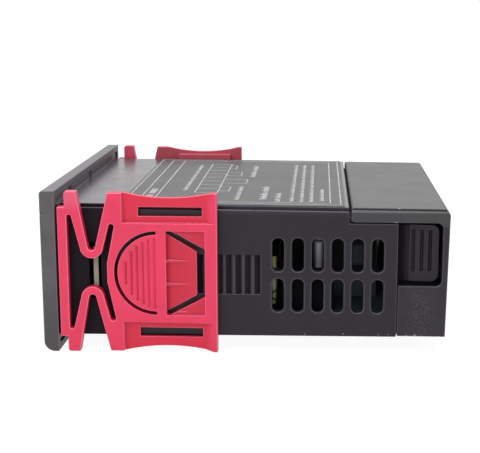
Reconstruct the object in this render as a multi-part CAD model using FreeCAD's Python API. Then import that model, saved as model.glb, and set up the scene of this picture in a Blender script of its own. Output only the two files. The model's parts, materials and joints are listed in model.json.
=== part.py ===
import FreeCAD, Part
import math
import os

# Digital temperature controller that is clamped in a panel cut-out. All sizes are millimetres.
# X runs from the front panel to the rear, Z is up, and someone who faces the front has +Y on the left.
# The origin is the middle of the cut-out, on the face of the bezel that seats on the panel.

V = FreeCAD.Vector

# Overall sizes: a 75 x 34.5 front for a 71 x 29 cut-out, 85 deep with the terminal cover
FRONT_WIDTH = 75.0
FRONT_HEIGHT = 34.5
TOTAL_DEPTH = 85.0
BEZEL_DEPTH = 3.35
REAR_END = TOTAL_DEPTH - BEZEL_DEPTH
CASE_WIDTH = 70.5
CASE_HEIGHT_FRONT = 28.2
CASE_HEIGHT_REAR = 26.9

# Case walls
CASE_SIDE = CASE_WIDTH / 2
SIDE_WALL = 1.5
LID_WALL = 1.6
CASE_FRONT = -1.25
CASE_END = 71.05
INNER_SIDE = CASE_SIDE - SIDE_WALL
CAVITY_BEVEL = 0.8
EDGE_BEVEL = 0.25

# Rails and grooves along the long edges, where the clip's hooks run
RAIL_THICKNESS = 0.85
RAIL_DROP = 0.6
GROOVE_WIDTH = 1.0
GROOVE_DEPTH = 1.1
GROOVE_START = 0.3
GROOVE_OUTER = CASE_SIDE - RAIL_THICKNESS
GROOVE_INNER = GROOVE_OUTER - GROOVE_WIDTH

# Ratchet on each side wall
TOOTH_PITCH = 2.0
TOOTH_COUNT = 11
TOOTH_CREST = 0.7
RATCHET_FRONT = 20.7
RATCHET_Z = (-4.67, 3.7)
CREST_DEPTH = 0.25
VALLEY_DEPTH = 0.85

# Vents on each side wall
VENT_COLUMNS = 6
VENT_PITCH = 4.13
VENT_FIRST = 46.34
VENT_WIDTH = 2.4
VENT_HEIGHT = 7.0
VENT_ROWS = (3.8, -4.9)
VENT_ROUND = 1.1

# Front flange of the case, with the lugs that show behind the bezel
FLANGE_HALF_WIDTH = 35.85
FLANGE_HALF_HEIGHT = 15.65
FLANGE_REAR = -0.4
LUG_Y = (1.7, 20.6)
LUG_FOOT = 13.6
LUG_REAR = -0.05
LUG_ROUND = 0.6

# Terminal cover and its hinge
COVER_FRONT = 61.4
COVER_SEAM = 71.2
COVER_LEAN = 0.45
COVER_BOTTOM = -13.35
COVER_ROOF = 11.8
COVER_REAR_INNER = 80.2
COVER_WALL = 1.4
COVER_CORNER = 1.9
COVER_FRONT_ROUND = 0.7
COVER_LIP_ROUND = 0.8
COVER_REAR_ROUND = 1.2
LIP_BOTTOM = 10.8
COVER_GROOVE_FLOOR = 12.3
COVER_RAIL_RISE = -12.4
COVER_RAIL_DROP = 0.3
COVER_RAIL_BEVEL = 0.45
HINGE_X = 62.15
HINGE_Z = 12.55
PIN_RADIUS = 0.4
PIN_CLEARANCE = 0.04
PIN_END = 32.7
POST_RADIUS = 0.6
POST_Y = (29.6, 31.0)
POST_ROOM = 0.65
POST_REAR_ROOM = 1.0
POST_SIDE_ROOM = 0.15
LID_END = 60.98
LEDGE_Z = 10.6
LEDGE_WALL = 1.5
WINDOW_Z = (-2.5, LIP_BOTTOM)
WINDOW_ROUND = 1.2
CABLE_EXIT_Y = 28.5
CABLE_EXIT_Z = (-11.4, -2.0)
CABLE_EXIT_ROUND = 1.5

# Latch fingers of the case, just inside the cover's side walls
FINGER_END = 79.6
FINGER_Z = (-1.9, 10.2)
FINGER_OUTER = 33.55
FINGER_THICKNESS = 1.2
FINGER_ROUND = 1.6
FINGER_ROOT = (31.0, 32.2)
FINGER_BEND = (76.2, 76.0)
FINGER_INNER_BOW = (73.6, 31.85)
FINGER_OUTER_BOW = (73.0, 33.05)
FINGER_GROOVES = (74.3, 76.05, 77.8)
FINGER_GROOVE_WIDTH = 0.55
FINGER_GROOVE_DEPTH = 0.4
FINGER_GROOVE_Z = (0.3, 9.0)

# Floor of the terminal bay and the opening behind the terminals
BAY_END = 79.9
BAY_HALF_WIDTH = 33.2
BAY_FLOOR_TOP = -11.75
REAR_OPENING_Y = 31.2
REAR_OPENING_TOP = 8.0

# Bezel
BEZEL_EDGE_ROUND = 1.0
BEZEL_RIM_Y = 36.0
BEZEL_RIM_Z = 15.8
BEZEL_RIM_ROUND = 1.0
BEZEL_POCKET = -1.35
CHIN_Z = -15.4
CHIN_MIDDLE = (-2.37, -16.71)
FACE_RECESS_Y = 34.4
FACE_RECESS_Z = 13.9
FACE_RECESS_DEPTH = 0.4
FACE_RECESS_ROUND = 1.5
NICK_Z = 12.4
NICK_RADIUS = 0.45
NICK_LENGTH = 0.9
TONGUE_Y = (8.0, 20.0)
TONGUE_Z = (11.3, 12.35)
TONGUE_END = 4.0
TONGUE_BEVEL = 0.3
NIB_X = (2.6, 3.6)
NIB_HEIGHT = 0.5
NIB_ROOM = 0.15

# Display window and keys
WINDOW_CENTRE_Y = 10.0
WINDOW_SIZE = (43.0, 19.0)
WINDOW_CORNER = 1.5
LENS_PLAY = 0.2
LENS_FRONT = -3.15
LENS_LIP = 1.3
LENS_REAR = -0.6
KEY_COLUMNS = (-18.2, -27.8)
KEY_ROWS = (5.2, -5.2)
KEY_SIZE = (7.8, 6.2)
KEY_PLAY = 0.2
KEY_ROUND = 1.0
KEY_EDGE = 0.4
KEY_FRONT = -3.9
KEY_FLANGE_X = (-1.25, -0.5)
KEY_FLANGE_LIP = 0.6
KEY_STEM = (3.2, 1.0)
KEY_NAMES = (("up", "power"), ("down", "menu"))
PLUNGER_X = (3.2, 5.0)
PLUNGER_SIDE = 3.0
SWITCH_SIDE = 6.0
SWITCH_FRONT = 4.05
SWITCH_WELL_PLAY = 0.2
SWITCH_WELL_END = 5.6

# Boards
DISPLAY_BOARD_X = (7.45, 8.45)
DISPLAY_BOARD_Y = 33.2
DISPLAY_BOARD_Z = (-8.9, 11.6)
BOARD_EAR_Y = 35.0
BOARD_EAR_Z = 5.0
BOARD_SLOT_X = (6.5, 9.1)
BOARD_SLOT_Z = 6.0
MAIN_BOARD_X = (8.6, 78.6)
MAIN_BOARD_Y = 32.3
MAIN_BOARD_Z = (-10.6, -9.0)
BOARD_NECK_X = 68.8
BOARD_NECK_Y = 30.9
BOARD_TOP = MAIN_BOARD_Z[1]
SHELF_INNER = 31.6
SHELF_X = (10.0, 69.0)
SHELF_THICKNESS = 0.9

# Parts on the display board
DIGIT_BLOCK_Y = 18.8
DIGIT_BLOCK_Z = 8.9
DIGIT_FACE = -0.3
DIGIT_PITCH = 12.4
DIGIT_HEIGHT = 12.6
DIGIT_WIDTH = 6.8
SEGMENT_WIDTH = 1.3
SEGMENT_GAP = 0.25
SEGMENT_RISE = 0.1
DIGIT_LEAN = math.tan(math.radians(8.0))
POINT_RADIUS = 0.7
LED_SIZE = (1.6, 4.6)
LED_FRONT = 0.2
LED_Y = 30.2
LED_Z = (4.5, -4.5)

# Parts on the main board: place of the middle in X and Y, then size in X, Y and Z
HEADER = (10.0, 0.0, 2.5, 25.4, 2.5)
RELAY_PLACES = {"relay_heating": (58.0, -11.8), "relay_cooling": (58.0, 7.2)}
RELAY_SIZE = (19.0, 15.4, 15.2)
RELAY_BEVEL = 0.6
CHIP = (30.0, 12.0, 10.2, 7.4, 2.4)
REGULATOR = (44.0, 22.0, 4.6, 10.0, 9.0)
BUZZER = (20.0, 19.0, 4.7, 5.6)
BUZZER_HOLE = 1.0
BUZZER_HOLE_DEPTH = 2.0
FILTER_CAPACITOR = (54.75, -26.4, 2.75, 15.15)
SUPPRESSION_CAPACITOR = (53.0, -30.8, 10.0, 2.8, 8.8)
SMOOTHING_CAPACITOR = (24.0, -8.0, 3.1, 11.0)
CAPACITOR_BEVEL = 0.5
VARISTOR = (60.0, 25.0, 4.4, 3.6)
LEAD_SIDE = 0.7
LEAD_LENGTH = 1.2
LEAD_SPREAD = 2.5

# Transformer: a ferrite core lying flat, a wound bobbin on its middle leg and a belt of tape
CORE_X = (30.6, 45.9)
CORE_Y = (-28.0, -13.0)
CORE_Z = (-6.5, 1.5)
YOKE = 2.8
MIDDLE_LEG = 4.8
WINDING_Z = (-8.6, 3.6)
WINDING_PLAY = 0.2
WINDING_ROUND = 1.2
BOBBIN_WALL = 0.7
BOBBIN_FLANGE_RISE = 0.5
TAPE_THICKNESS = 0.3
TAPE_Z = (-8.7, 1.9)

# Screw terminals: a barrier strip that faces the rear, with a clamp plate and a screw in each bay
WAY_COUNT = 8
WAY_PITCH = 7.62
STRIP_HALF_WIDTH = 30.8
STRIP_X = (69.3, 74.6)
STRIP_TOP = 7.8
FIN_THICKNESS = 0.9
FIN_REAR = 79.2
FIN_BEVEL = 2.0
STRIP_FOOT_TOP = -7.6
CLAMP_SIZE = (5.4, 6.8)
CLAMP_Z = 0.6
CLAMP_THICKNESS = 0.9
SCREW_HEAD_RADIUS = 2.3
SCREW_HEAD_HEIGHT = 1.8
SCREW_SHANK_RADIUS = 1.3
SCREW_SHANK_LENGTH = 3.0
SCREW_SLOT = (0.6, 0.9)

# Label on the lid
LABEL_X = (12.8, 60.2)
LABEL_HALF_WIDTH = 33.0
LABEL_THICKNESS = 0.12

# Mounting clip, drawn for the +Y side: outline in side view, thickness along Y
CLIP_INNER = 35.35
CLIP_OUTER = 37.4
CLIP_TOP = 16.95
CLIP_REAR = 33.8
CLIP_CHAMFER = 0.18
BAR_X = (0.45, 2.45)
BAR_TOP = 13.9
EAR_FRONT = 2.0
EAR_TOP = 17.2
EAR_BEVEL = (0.35, 0.3)
BEND_X = 7.5
BEND_Z = 5.5
BEND_INNER = 0.8
BEND_OUTER = 2.45
BEND_OUTER_Z = 5.3
LEG_TOP_X = (4.5, 11.1)
SPRING_SLOT_TOP = 11.8
SPRING_SLOT_ROUND = 0.49
GAP_TOP = 9.8
GAP_X = (11.15, 12.35)
PLATE_FRONT = 10.7
PLATE_FRONT_Z = 2.0
TOP_ARC_X = (14.3, 32.9)
TOP_ARC_DIP = 15.85
POCKET_X = (14.0, 33.35)
POCKET_RAMP_X = 31.1
POCKET_Z = 10.6
POCKET_DEPTH = 1.0
CLIP_SLOT_X = (17.3, 30.65)
CLIP_SLOT_Z = (11.95, 13.9)
PAD_X = 21.1
PAD_SLOT = (8.2, 8.98)
PAD_RIB_RADIUS = 7.6
PAD_RIB_PITCH = 1.2
PAD_RIB_COUNT = 6
PAD_RIB_DEPTH = 0.4
PAD_RIB_WIDTH = 0.9
PAD_RIB_LEAN = 0.2
PAD_LAST_RIB = 2.2
FLAP_X = (23.1, 29.5)
FLAP_HALF = (8.3, 4.6)
FLAP_WINDOW_REAR = 31.25
FLAP_WINDOW_HALF = 9.0
FLAP_SLOT_HALF = 5.1
FLAP_SLOT_TOP_X = 24.0
FLAP_DEPTH = 0.65
FLAP_RAMP_X = 27.9
FLAP_RAMP_DEPTH = 1.3
FLAP_RIB_Z = (2.25, 2.75)
HOOK_X = (17.1, 30.9)
HOOK_Z = (14.2, 15.2)
HOOK_LIP_Y = (33.55, 34.25)
HOOK_LIP_Z = 13.15

SOFT_STEPS = 3  # flats in the quarter turn of a small corner
FINE_STEPS = 2  # the same for a vent's end or a screw's shank
ROUND_STEPS = 5  # the same for a round can
BEYOND = 1.0  # how far a cutting tool reaches past the face that it cuts
ROOT = 0.3  # how far a form that is fused on reaches into its carrier


def half_height(x):
    """Half the height of the case at x, where the mould's draft closes it in towards the rear."""
    return (CASE_HEIGHT_FRONT - (CASE_HEIGHT_FRONT - CASE_HEIGHT_REAR) * x / REAR_END) / 2


def block(x, y, z):
    """A block between two values on each axis."""
    return Part.makeBox(x[1] - x[0], y[1] - y[0], z[1] - z[0], V(x[0], y[0], z[0]))


def closed_wire(outline, place):
    """A closed wire. A step is a point, or a point on an arc with the arc's end."""
    edges = []
    last = outline[0]
    for step in outline[1:] + outline[:1]:
        if isinstance(step[0], tuple):
            through, end = step
            edges.append(Part.Arc(place(last), place(through), place(end)).toShape())
        else:
            end = step
            if math.dist(last, end) > 1e-7:
                edges.append(Part.makeLine(place(last), place(end)))
        last = end
    return Part.Wire(edges)


def along_x(outline, x):
    """A front-view outline of (y, z) points, drawn out between two X values."""
    face = Part.Face(closed_wire(outline, lambda p: V(x[0], p[0], p[1])))
    return face.extrude(V(x[1] - x[0], 0, 0))


def along_y(outline, y):
    """A side-view outline of (x, z) points, drawn out between two Y values."""
    face = Part.Face(closed_wire(outline, lambda p: V(p[0], y[0], p[1])))
    return face.extrude(V(0, y[1] - y[0], 0))


def along_z(outline, z):
    """A plan outline of (x, y) points, drawn out between two Z values."""
    face = Part.Face(closed_wire(outline, lambda p: V(p[0], p[1], z[0])))
    return face.extrude(V(0, 0, z[1] - z[0]))


def softened(low, high, radius, steps=SOFT_STEPS):
    """The outline of a rectangle whose corners are rounded in a few flats, for small forms that repeat."""
    (u0, v0), (u1, v1) = low, high
    corners = ((u1, v0, -1, 1), (u1, v1, -1, -1), (u0, v1, 1, -1), (u0, v0, 1, 1))
    outline = []
    for quarter, (u, v, inward_u, inward_v) in enumerate(corners):
        middle = (u + inward_u * radius, v + inward_v * radius)
        for step in range(steps + 1):
            turn = math.radians(90 * (quarter - 1 + step / steps))
            outline.append((middle[0] + radius * math.cos(turn), middle[1] + radius * math.sin(turn)))
    return outline


def centred(middle, size, grow=0.0):
    """Low and high corners of a rectangle about its middle, grown on every side."""
    half = [side / 2 + grow for side in size]
    low = (middle[0] - half[0], middle[1] - half[1])
    high = (middle[0] + half[0], middle[1] + half[1])
    return low, high


def x_bar(x, y, z, width, height):
    """A rectangular bar along X, about a line at y and z."""
    return block(x, (y - width / 2, y + width / 2), (z - height / 2, z + height / 2))


def y_rod(radius, x, y, z):
    """A round rod along Y."""
    return Part.makeCylinder(radius, y[1] - y[0], V(x, y[0], z), V(0, 1, 0))


def mirror_y(shape):
    """The same shape on the other side of the middle plane."""
    return shape.mirror(V(0, 0, 0), V(0, 1, 0))


def mirror_z(shape):
    """The same shape upside down."""
    return shape.mirror(V(0, 0, 0), V(0, 0, 1))


def both_sides(shapes):
    """Shapes drawn on the +Y side, with their mirror images."""
    return list(shapes) + [mirror_y(shape) for shape in shapes]


def edges_where(shape, test):
    """The edges whose bounding box passes a test."""
    return [edge for edge in shape.Edges if test(edge.BoundBox)]


def near(a, b):
    """True where two lengths are the same within the modeller's tolerance."""
    return abs(a - b) < 1e-4


def band(x, offset, height):
    """A side-view strip that follows the lid between two X values, from an offset up by a height."""
    return [
        (x[0], half_height(x[0]) + offset),
        (x[1], half_height(x[1]) + offset),
        (x[1], half_height(x[1]) + offset + height),
        (x[0], half_height(x[0]) + offset + height),
    ]


def on_side_wall(box):
    """True for a bounding box that reaches the plane of a side wall."""
    return near(max(abs(box.YMin), abs(box.YMax)), CASE_SIDE)


def case_body():
    """The tapered box with the ledge for the cover, its rails and grooves, before openings are cut."""
    outline = [
        (CASE_FRONT, -half_height(CASE_FRONT)),
        (CASE_FRONT, half_height(CASE_FRONT)),
        (LID_END, half_height(LID_END)),
        (LID_END, LEDGE_Z),
        (CASE_END, LEDGE_Z),
        (CASE_END, -half_height(CASE_END)),
    ]
    body = along_y(outline, (-CASE_SIDE, CASE_SIDE))
    groove_y = (GROOVE_INNER, GROOVE_OUTER)
    top_x = (GROOVE_START, LID_END + BEYOND)
    bottom_x = (GROOVE_START, CASE_END + BEYOND)
    tools = [
        along_y(band(top_x, -GROOVE_DEPTH, GROOVE_DEPTH + BEYOND), groove_y),
        along_y(band(top_x, -RAIL_DROP, RAIL_DROP + BEYOND), (GROOVE_OUTER, CASE_SIDE + BEYOND)),
        mirror_z(along_y(band(bottom_x, -GROOVE_DEPTH, GROOVE_DEPTH + BEYOND), groove_y)),
    ]
    body = body.cut(both_sides(tools))
    long_edges = edges_where(body, lambda b: b.XLength > REAR_END / 2 and on_side_wall(b))
    return body.makeChamfer(EDGE_BEVEL, long_edges)


def case_cavity():
    """The room inside the case, open at the front and lower under the cover."""
    step_x = LID_END - LEDGE_WALL
    outline = [
        (CASE_FRONT - BEYOND, -half_height(CASE_FRONT) + LID_WALL),
        (CASE_FRONT - BEYOND, half_height(CASE_FRONT) - LID_WALL),
        (step_x, half_height(step_x) - LID_WALL),
        (step_x, LEDGE_Z - LEDGE_WALL),
        (CASE_END - SIDE_WALL, LEDGE_Z - LEDGE_WALL),
        (CASE_END - SIDE_WALL, -half_height(CASE_END) + LID_WALL),
    ]
    cavity = along_y(outline, (-INNER_SIDE, INNER_SIDE))
    long_edges = edges_where(cavity, lambda b: b.XLength > REAR_END / 2 and b.YLength < LID_WALL)
    return cavity.makeChamfer(CAVITY_BEVEL, long_edges)


def ratchet_recess():
    """A recess in the +Y side wall whose floor is a row of teeth, steep towards the front."""
    outer = CASE_SIDE + BEYOND
    crest = CASE_SIDE - CREST_DEPTH
    valley = CASE_SIDE - VALLEY_DEPTH
    outline = [(RATCHET_FRONT, outer)]
    for tooth in range(TOOTH_COUNT):
        x = RATCHET_FRONT + tooth * TOOTH_PITCH
        outline += [(x, crest), (x + TOOTH_CREST, crest), (x + TOOTH_PITCH, valley)]
    outline.append((RATCHET_FRONT + TOOTH_COUNT * TOOTH_PITCH, outer))
    return along_z(outline, RATCHET_Z)


def side_vents():
    """The rounded vent slots through the +Y side wall."""
    vents = []
    for column in range(VENT_COLUMNS):
        for row_z in VENT_ROWS:
            middle = (VENT_FIRST + column * VENT_PITCH, row_z)
            low, high = centred(middle, (VENT_WIDTH, VENT_HEIGHT))
            outline = softened(low, high, VENT_ROUND, FINE_STEPS)
            vents.append(along_y(outline, (INNER_SIDE - BEYOND, CASE_SIDE + BEYOND)))
    return vents


def latch_finger():
    """A springy finger on the +Y side, bowed out to the cover's wall and ribbed for a fingertip."""
    inner = FINGER_OUTER - FINGER_THICKNESS
    root_x = CASE_END - SIDE_WALL / 2
    outline = [
        (root_x, FINGER_ROOT[1]),
        (FINGER_OUTER_BOW, (FINGER_BEND[1], FINGER_OUTER)),
        (FINGER_END, FINGER_OUTER),
        (FINGER_END, inner),
        (FINGER_BEND[0], inner),
        (FINGER_INNER_BOW, (root_x, FINGER_ROOT[0])),
    ]
    finger = along_z(outline, FINGER_Z)
    end_edges = edges_where(finger, lambda b: near(b.XMin, FINGER_END) and near(b.ZLength, 0.0))
    finger = finger.makeFillet(FINGER_ROUND, end_edges)
    half = FINGER_GROOVE_WIDTH / 2
    floor_y = FINGER_OUTER - FINGER_GROOVE_DEPTH
    grooves = []
    for x in FINGER_GROOVES:
        grooves.append(block((x - half, x + half), (floor_y, CASE_SIDE), FINGER_GROOVE_Z))
    return finger.cut(grooves)


def hinge_post():
    """A post on the ledge of the +Y side with the pin that the cover turns on."""
    post = y_rod(POST_RADIUS, HINGE_X, POST_Y, HINGE_Z)
    foot = block((HINGE_X - POST_RADIUS, HINGE_X + POST_RADIUS), POST_Y, (LEDGE_Z - ROOT, HINGE_Z))
    pin = y_rod(PIN_RADIUS, HINGE_X, (POST_Y[1] - ROOT, PIN_END), HINGE_Z)
    return post.fuse([foot, pin])


def front_flange():
    """The flange that the bezel takes hold of, with two lugs along the top and two along the bottom."""
    low = (-FLANGE_HALF_WIDTH, -FLANGE_HALF_HEIGHT)
    high = (FLANGE_HALF_WIDTH, FLANGE_HALF_HEIGHT)
    flange = along_x(softened(low, high, BEZEL_RIM_ROUND), (CASE_FRONT, FLANGE_REAR))
    lug_outline = softened((LUG_Y[0], LUG_FOOT), (LUG_Y[1], FLANGE_HALF_HEIGHT), LUG_ROUND)
    lug = along_x(lug_outline, (CASE_FRONT, LUG_REAR))
    upper = both_sides([lug])
    return flange.fuse(upper + [mirror_z(shape) for shape in upper])


def case_shell():
    """The case as one moulding."""
    bay_floor = along_y(
        [
            (CASE_END - SIDE_WALL, -half_height(CASE_END - SIDE_WALL)),
            (BAY_END, -half_height(BAY_END)),
            (BAY_END, BAY_FLOOR_TOP),
            (CASE_END - SIDE_WALL, BAY_FLOOR_TOP),
        ],
        (-BAY_HALF_WIDTH, BAY_HALF_WIDTH),
    )
    shelf_z = (MAIN_BOARD_Z[0] - SHELF_THICKNESS, MAIN_BOARD_Z[0])
    shelf = block(SHELF_X, (SHELF_INNER, INNER_SIDE + ROOT), shelf_z)
    nib_pocket = block(
        (NIB_X[0] - NIB_ROOM, NIB_X[1] + NIB_ROOM),
        (TONGUE_Y[0] - NIB_ROOM, TONGUE_Y[1] + NIB_ROOM),
        (TONGUE_Z[0], TONGUE_Z[1] + NIB_HEIGHT + NIB_ROOM),
    )
    through_wall = (INNER_SIDE - BEYOND, CASE_SIDE + BEYOND)
    board_slot = block(BOARD_SLOT_X, through_wall, (-BOARD_SLOT_Z, BOARD_SLOT_Z))
    rear_opening = block(
        (CASE_END - SIDE_WALL - BEYOND, CASE_END + BEYOND),
        (-REAR_OPENING_Y, REAR_OPENING_Y),
        (BAY_FLOOR_TOP, REAR_OPENING_TOP),
    )
    upper_pockets = both_sides([nib_pocket])
    pockets = upper_pockets + [mirror_z(shape) for shape in upper_pockets]
    shell = case_body().fuse(front_flange()).cut(case_cavity())
    shell = shell.cut(both_sides([ratchet_recess(), board_slot] + side_vents()) + pockets + [rear_opening])
    shell = shell.fuse(both_sides([shelf, hinge_post(), latch_finger()]) + [bay_floor])
    return shell.removeSplitter()


def terminal_cover():
    """The cover over the terminals, which turns about the hinge pins and snaps over the latch fingers."""
    outline = [
        (COVER_FRONT, half_height(COVER_FRONT)),
        (REAR_END, half_height(REAR_END)),
        (REAR_END - COVER_LEAN, COVER_BOTTOM),
        (COVER_SEAM, COVER_BOTTOM),
        (COVER_SEAM, LIP_BOTTOM),
        (COVER_FRONT, LIP_BOTTOM),
    ]
    cover = along_y(outline, (-CASE_SIDE, CASE_SIDE))
    rounds = (
        (COVER_FRONT_ROUND, COVER_FRONT, half_height(COVER_FRONT)),
        (COVER_REAR_ROUND, REAR_END, half_height(REAR_END)),
        (COVER_LIP_ROUND, COVER_FRONT, LIP_BOTTOM),
    )
    for radius, x, z in rounds:
        cross_edges = edges_where(cover, lambda b: near(b.YLength, CASE_WIDTH))
        corner = [edge for edge in cross_edges if near(edge.BoundBox.XMin, x) and near(edge.BoundBox.ZMin, z)]
        cover = cover.makeFillet(radius, corner)
    inner = CASE_SIDE - COVER_CORNER
    wall = CASE_SIDE - COVER_WALL
    bottom = COVER_BOTTOM - BEYOND
    window_front = COVER_SEAM - WINDOW_ROUND - BEYOND
    groove_x = (COVER_FRONT - BEYOND, REAR_END + BEYOND)
    groove_y = (GROOVE_INNER, GROOVE_OUTER)
    rail_y = (GROOVE_OUTER, CASE_SIDE + BEYOND)
    side_tools = [
        block(groove_x, groove_y, (COVER_GROOVE_FLOOR, CASE_HEIGHT_FRONT)),
        along_y(band(groove_x, -COVER_RAIL_DROP, COVER_RAIL_DROP + BEYOND), rail_y),
        block((COVER_SEAM - BEYOND, REAR_END + BEYOND), groove_y, (bottom, COVER_RAIL_RISE)),
        y_rod(PIN_RADIUS + PIN_CLEARANCE, HINGE_X, (POST_Y[1], PIN_END + PIN_CLEARANCE), HINGE_Z),
        block(
            (COVER_FRONT - BEYOND, HINGE_X + POST_REAR_ROOM),
            (POST_Y[0] - POST_SIDE_ROOM, POST_Y[1] + POST_SIDE_ROOM),
            (LIP_BOTTOM, HINGE_Z + POST_ROOM),
        ),
        along_y(
            softened((window_front, WINDOW_Z[0]), (COVER_REAR_INNER, WINDOW_Z[1]), WINDOW_ROUND),
            (inner, CASE_SIDE + BEYOND),
        ),
    ]
    exit_low = (-CABLE_EXIT_Y, CABLE_EXIT_Z[0])
    exit_high = (CABLE_EXIT_Y, CABLE_EXIT_Z[1])
    through_rear = (COVER_REAR_INNER - BEYOND, REAR_END + BEYOND)
    tools = both_sides(side_tools) + [
        block((COVER_FRONT - BEYOND, COVER_REAR_INNER), (-inner, inner), (bottom, COVER_ROOF)),
        block((COVER_SEAM - BEYOND, COVER_REAR_INNER), (-wall, wall), (bottom, LIP_BOTTOM)),
        along_x(softened(exit_low, exit_high, CABLE_EXIT_ROUND), through_rear),
    ]
    cover = cover.cut(tools).removeSplitter()
    long_edges = edges_where(cover, lambda b: b.XLength > REAR_END - COVER_SEAM and on_side_wall(b))
    rail_edges = [edge for edge in long_edges if edge.BoundBox.ZMin > COVER_ROOF]
    return cover.makeChamfer(COVER_RAIL_BEVEL, rail_edges)


def key_places():
    """Name and middle (y, z) of each key."""
    places = []
    for row_names, z in zip(KEY_NAMES, KEY_ROWS):
        for name, y in zip(row_names, KEY_COLUMNS):
            places.append((name, y, z))
    return places


def front_bezel():
    """The frame of the front, with the window opening, key holes and four snap tongues."""
    front = -BEZEL_DEPTH
    half = (FRONT_WIDTH / 2, FRONT_HEIGHT / 2)
    bezel = x_bar((front, 0.0), 0.0, 0.0, FRONT_WIDTH, FRONT_HEIGHT)
    bezel = bezel.makeFillet(BEZEL_EDGE_ROUND, edges_where(bezel, lambda b: near(b.XMax, front)))
    chin = [
        (front, CHIN_Z),
        (CHIN_MIDDLE, (0.0, -half[1])),
        (0.0, -half[1] - BEYOND),
        (front - BEYOND, -half[1] - BEYOND),
        (front - BEYOND, CHIN_Z),
    ]
    floor_x = front + FACE_RECESS_DEPTH
    rim = ((-BEZEL_RIM_Y, -BEZEL_RIM_Z), (BEZEL_RIM_Y, BEZEL_RIM_Z))
    recess = ((-FACE_RECESS_Y, -FACE_RECESS_Z), (FACE_RECESS_Y, FACE_RECESS_Z))
    window = centred((WINDOW_CENTRE_Y, 0.0), WINDOW_SIZE)
    through = (front - BEYOND, BEZEL_POCKET + BEYOND)
    tools = [
        along_y(chin, (-FRONT_WIDTH, FRONT_WIDTH)),
        along_x(softened(*rim, BEZEL_RIM_ROUND), (BEZEL_POCKET, BEYOND)),
        along_x(softened(*recess, FACE_RECESS_ROUND), (front - BEYOND, floor_x)),
        along_x(softened(*window, WINDOW_CORNER), through),
        y_rod(NICK_RADIUS, front, (-half[0] - BEYOND, -half[0] + NICK_LENGTH), NICK_Z),
    ]
    for _, y, z in key_places():
        low, high = centred((y, z), KEY_SIZE, KEY_PLAY)
        tools.append(along_x(softened(low, high, KEY_ROUND + KEY_PLAY), through))
    bezel = bezel.cut(tools)
    nib_top = TONGUE_Z[1] + NIB_HEIGHT
    tongue = along_y(
        [
            (BEZEL_POCKET - ROOT, TONGUE_Z[0]),
            (TONGUE_END, TONGUE_Z[0]),
            (TONGUE_END, TONGUE_Z[1] - TONGUE_BEVEL),
            (NIB_X[1], TONGUE_Z[1]),
            (NIB_X[0] + TONGUE_BEVEL, nib_top),
            (NIB_X[0], nib_top),
            (NIB_X[0], TONGUE_Z[1]),
            (BEZEL_POCKET - ROOT, TONGUE_Z[1]),
        ],
        TONGUE_Y,
    )
    upper = both_sides([tongue])
    return bezel.fuse(upper + [mirror_z(shape) for shape in upper]).removeSplitter()


def display_window():
    """The smoked lens, set into the bezel from behind."""
    low, high = centred((WINDOW_CENTRE_Y, 0.0), WINDOW_SIZE, -LENS_PLAY)
    lens = along_x(softened(low, high, WINDOW_CORNER - LENS_PLAY), (LENS_FRONT, LENS_REAR))
    low, high = centred((WINDOW_CENTRE_Y, 0.0), WINDOW_SIZE, LENS_LIP)
    flange = block((BEZEL_POCKET, LENS_REAR), (low[0], high[0]), (low[1], high[1]))
    return lens.fuse(flange).removeSplitter()


def key_cap(y, z):
    """A key with a soft front edge, a flange that keeps it in and a cross-shaped stem to its switch."""
    low, high = centred((y, z), KEY_SIZE)
    cap = along_x(softened(low, high, KEY_ROUND), (KEY_FRONT, KEY_FLANGE_X[0]))
    cap = cap.makeChamfer(KEY_EDGE, edges_where(cap, lambda b: near(b.XMax, KEY_FRONT)))
    (low_y, low_z), (high_y, high_z) = centred((y, z), KEY_SIZE, KEY_FLANGE_LIP)
    flange = block(KEY_FLANGE_X, (low_y, high_y), (low_z, high_z))
    stem_x = (KEY_FLANGE_X[1], PLUNGER_X[0])
    long_side, short_side = KEY_STEM
    stem = [x_bar(stem_x, y, z, long_side, short_side), x_bar(stem_x, y, z, short_side, long_side)]
    return cap.fuse([flange] + stem).removeSplitter()


def switch_body(y, z):
    """A key switch on the display board, with a well for its plunger."""
    body = x_bar((SWITCH_FRONT, DISPLAY_BOARD_X[0]), y, z, SWITCH_SIDE, SWITCH_SIDE)
    well_side = PLUNGER_SIDE + 2 * SWITCH_WELL_PLAY
    return body.cut(x_bar((SWITCH_FRONT - BEYOND, SWITCH_WELL_END), y, z, well_side, well_side))


def display_board():
    """The upright board, whose ears sit in the slots of the side walls."""
    board = block(DISPLAY_BOARD_X, (-DISPLAY_BOARD_Y, DISPLAY_BOARD_Y), DISPLAY_BOARD_Z)
    ears = block(DISPLAY_BOARD_X, (-BOARD_EAR_Y, BOARD_EAR_Y), (-BOARD_EAR_Z, BOARD_EAR_Z))
    return board.fuse(ears).removeSplitter()


def bar_outline(half, tip):
    """A light bar with pointed ends, along the first axis."""
    flat = half - tip
    return [(-half, 0), (-flat, -tip), (flat, -tip), (half, 0), (flat, tip), (-flat, tip)]


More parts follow.
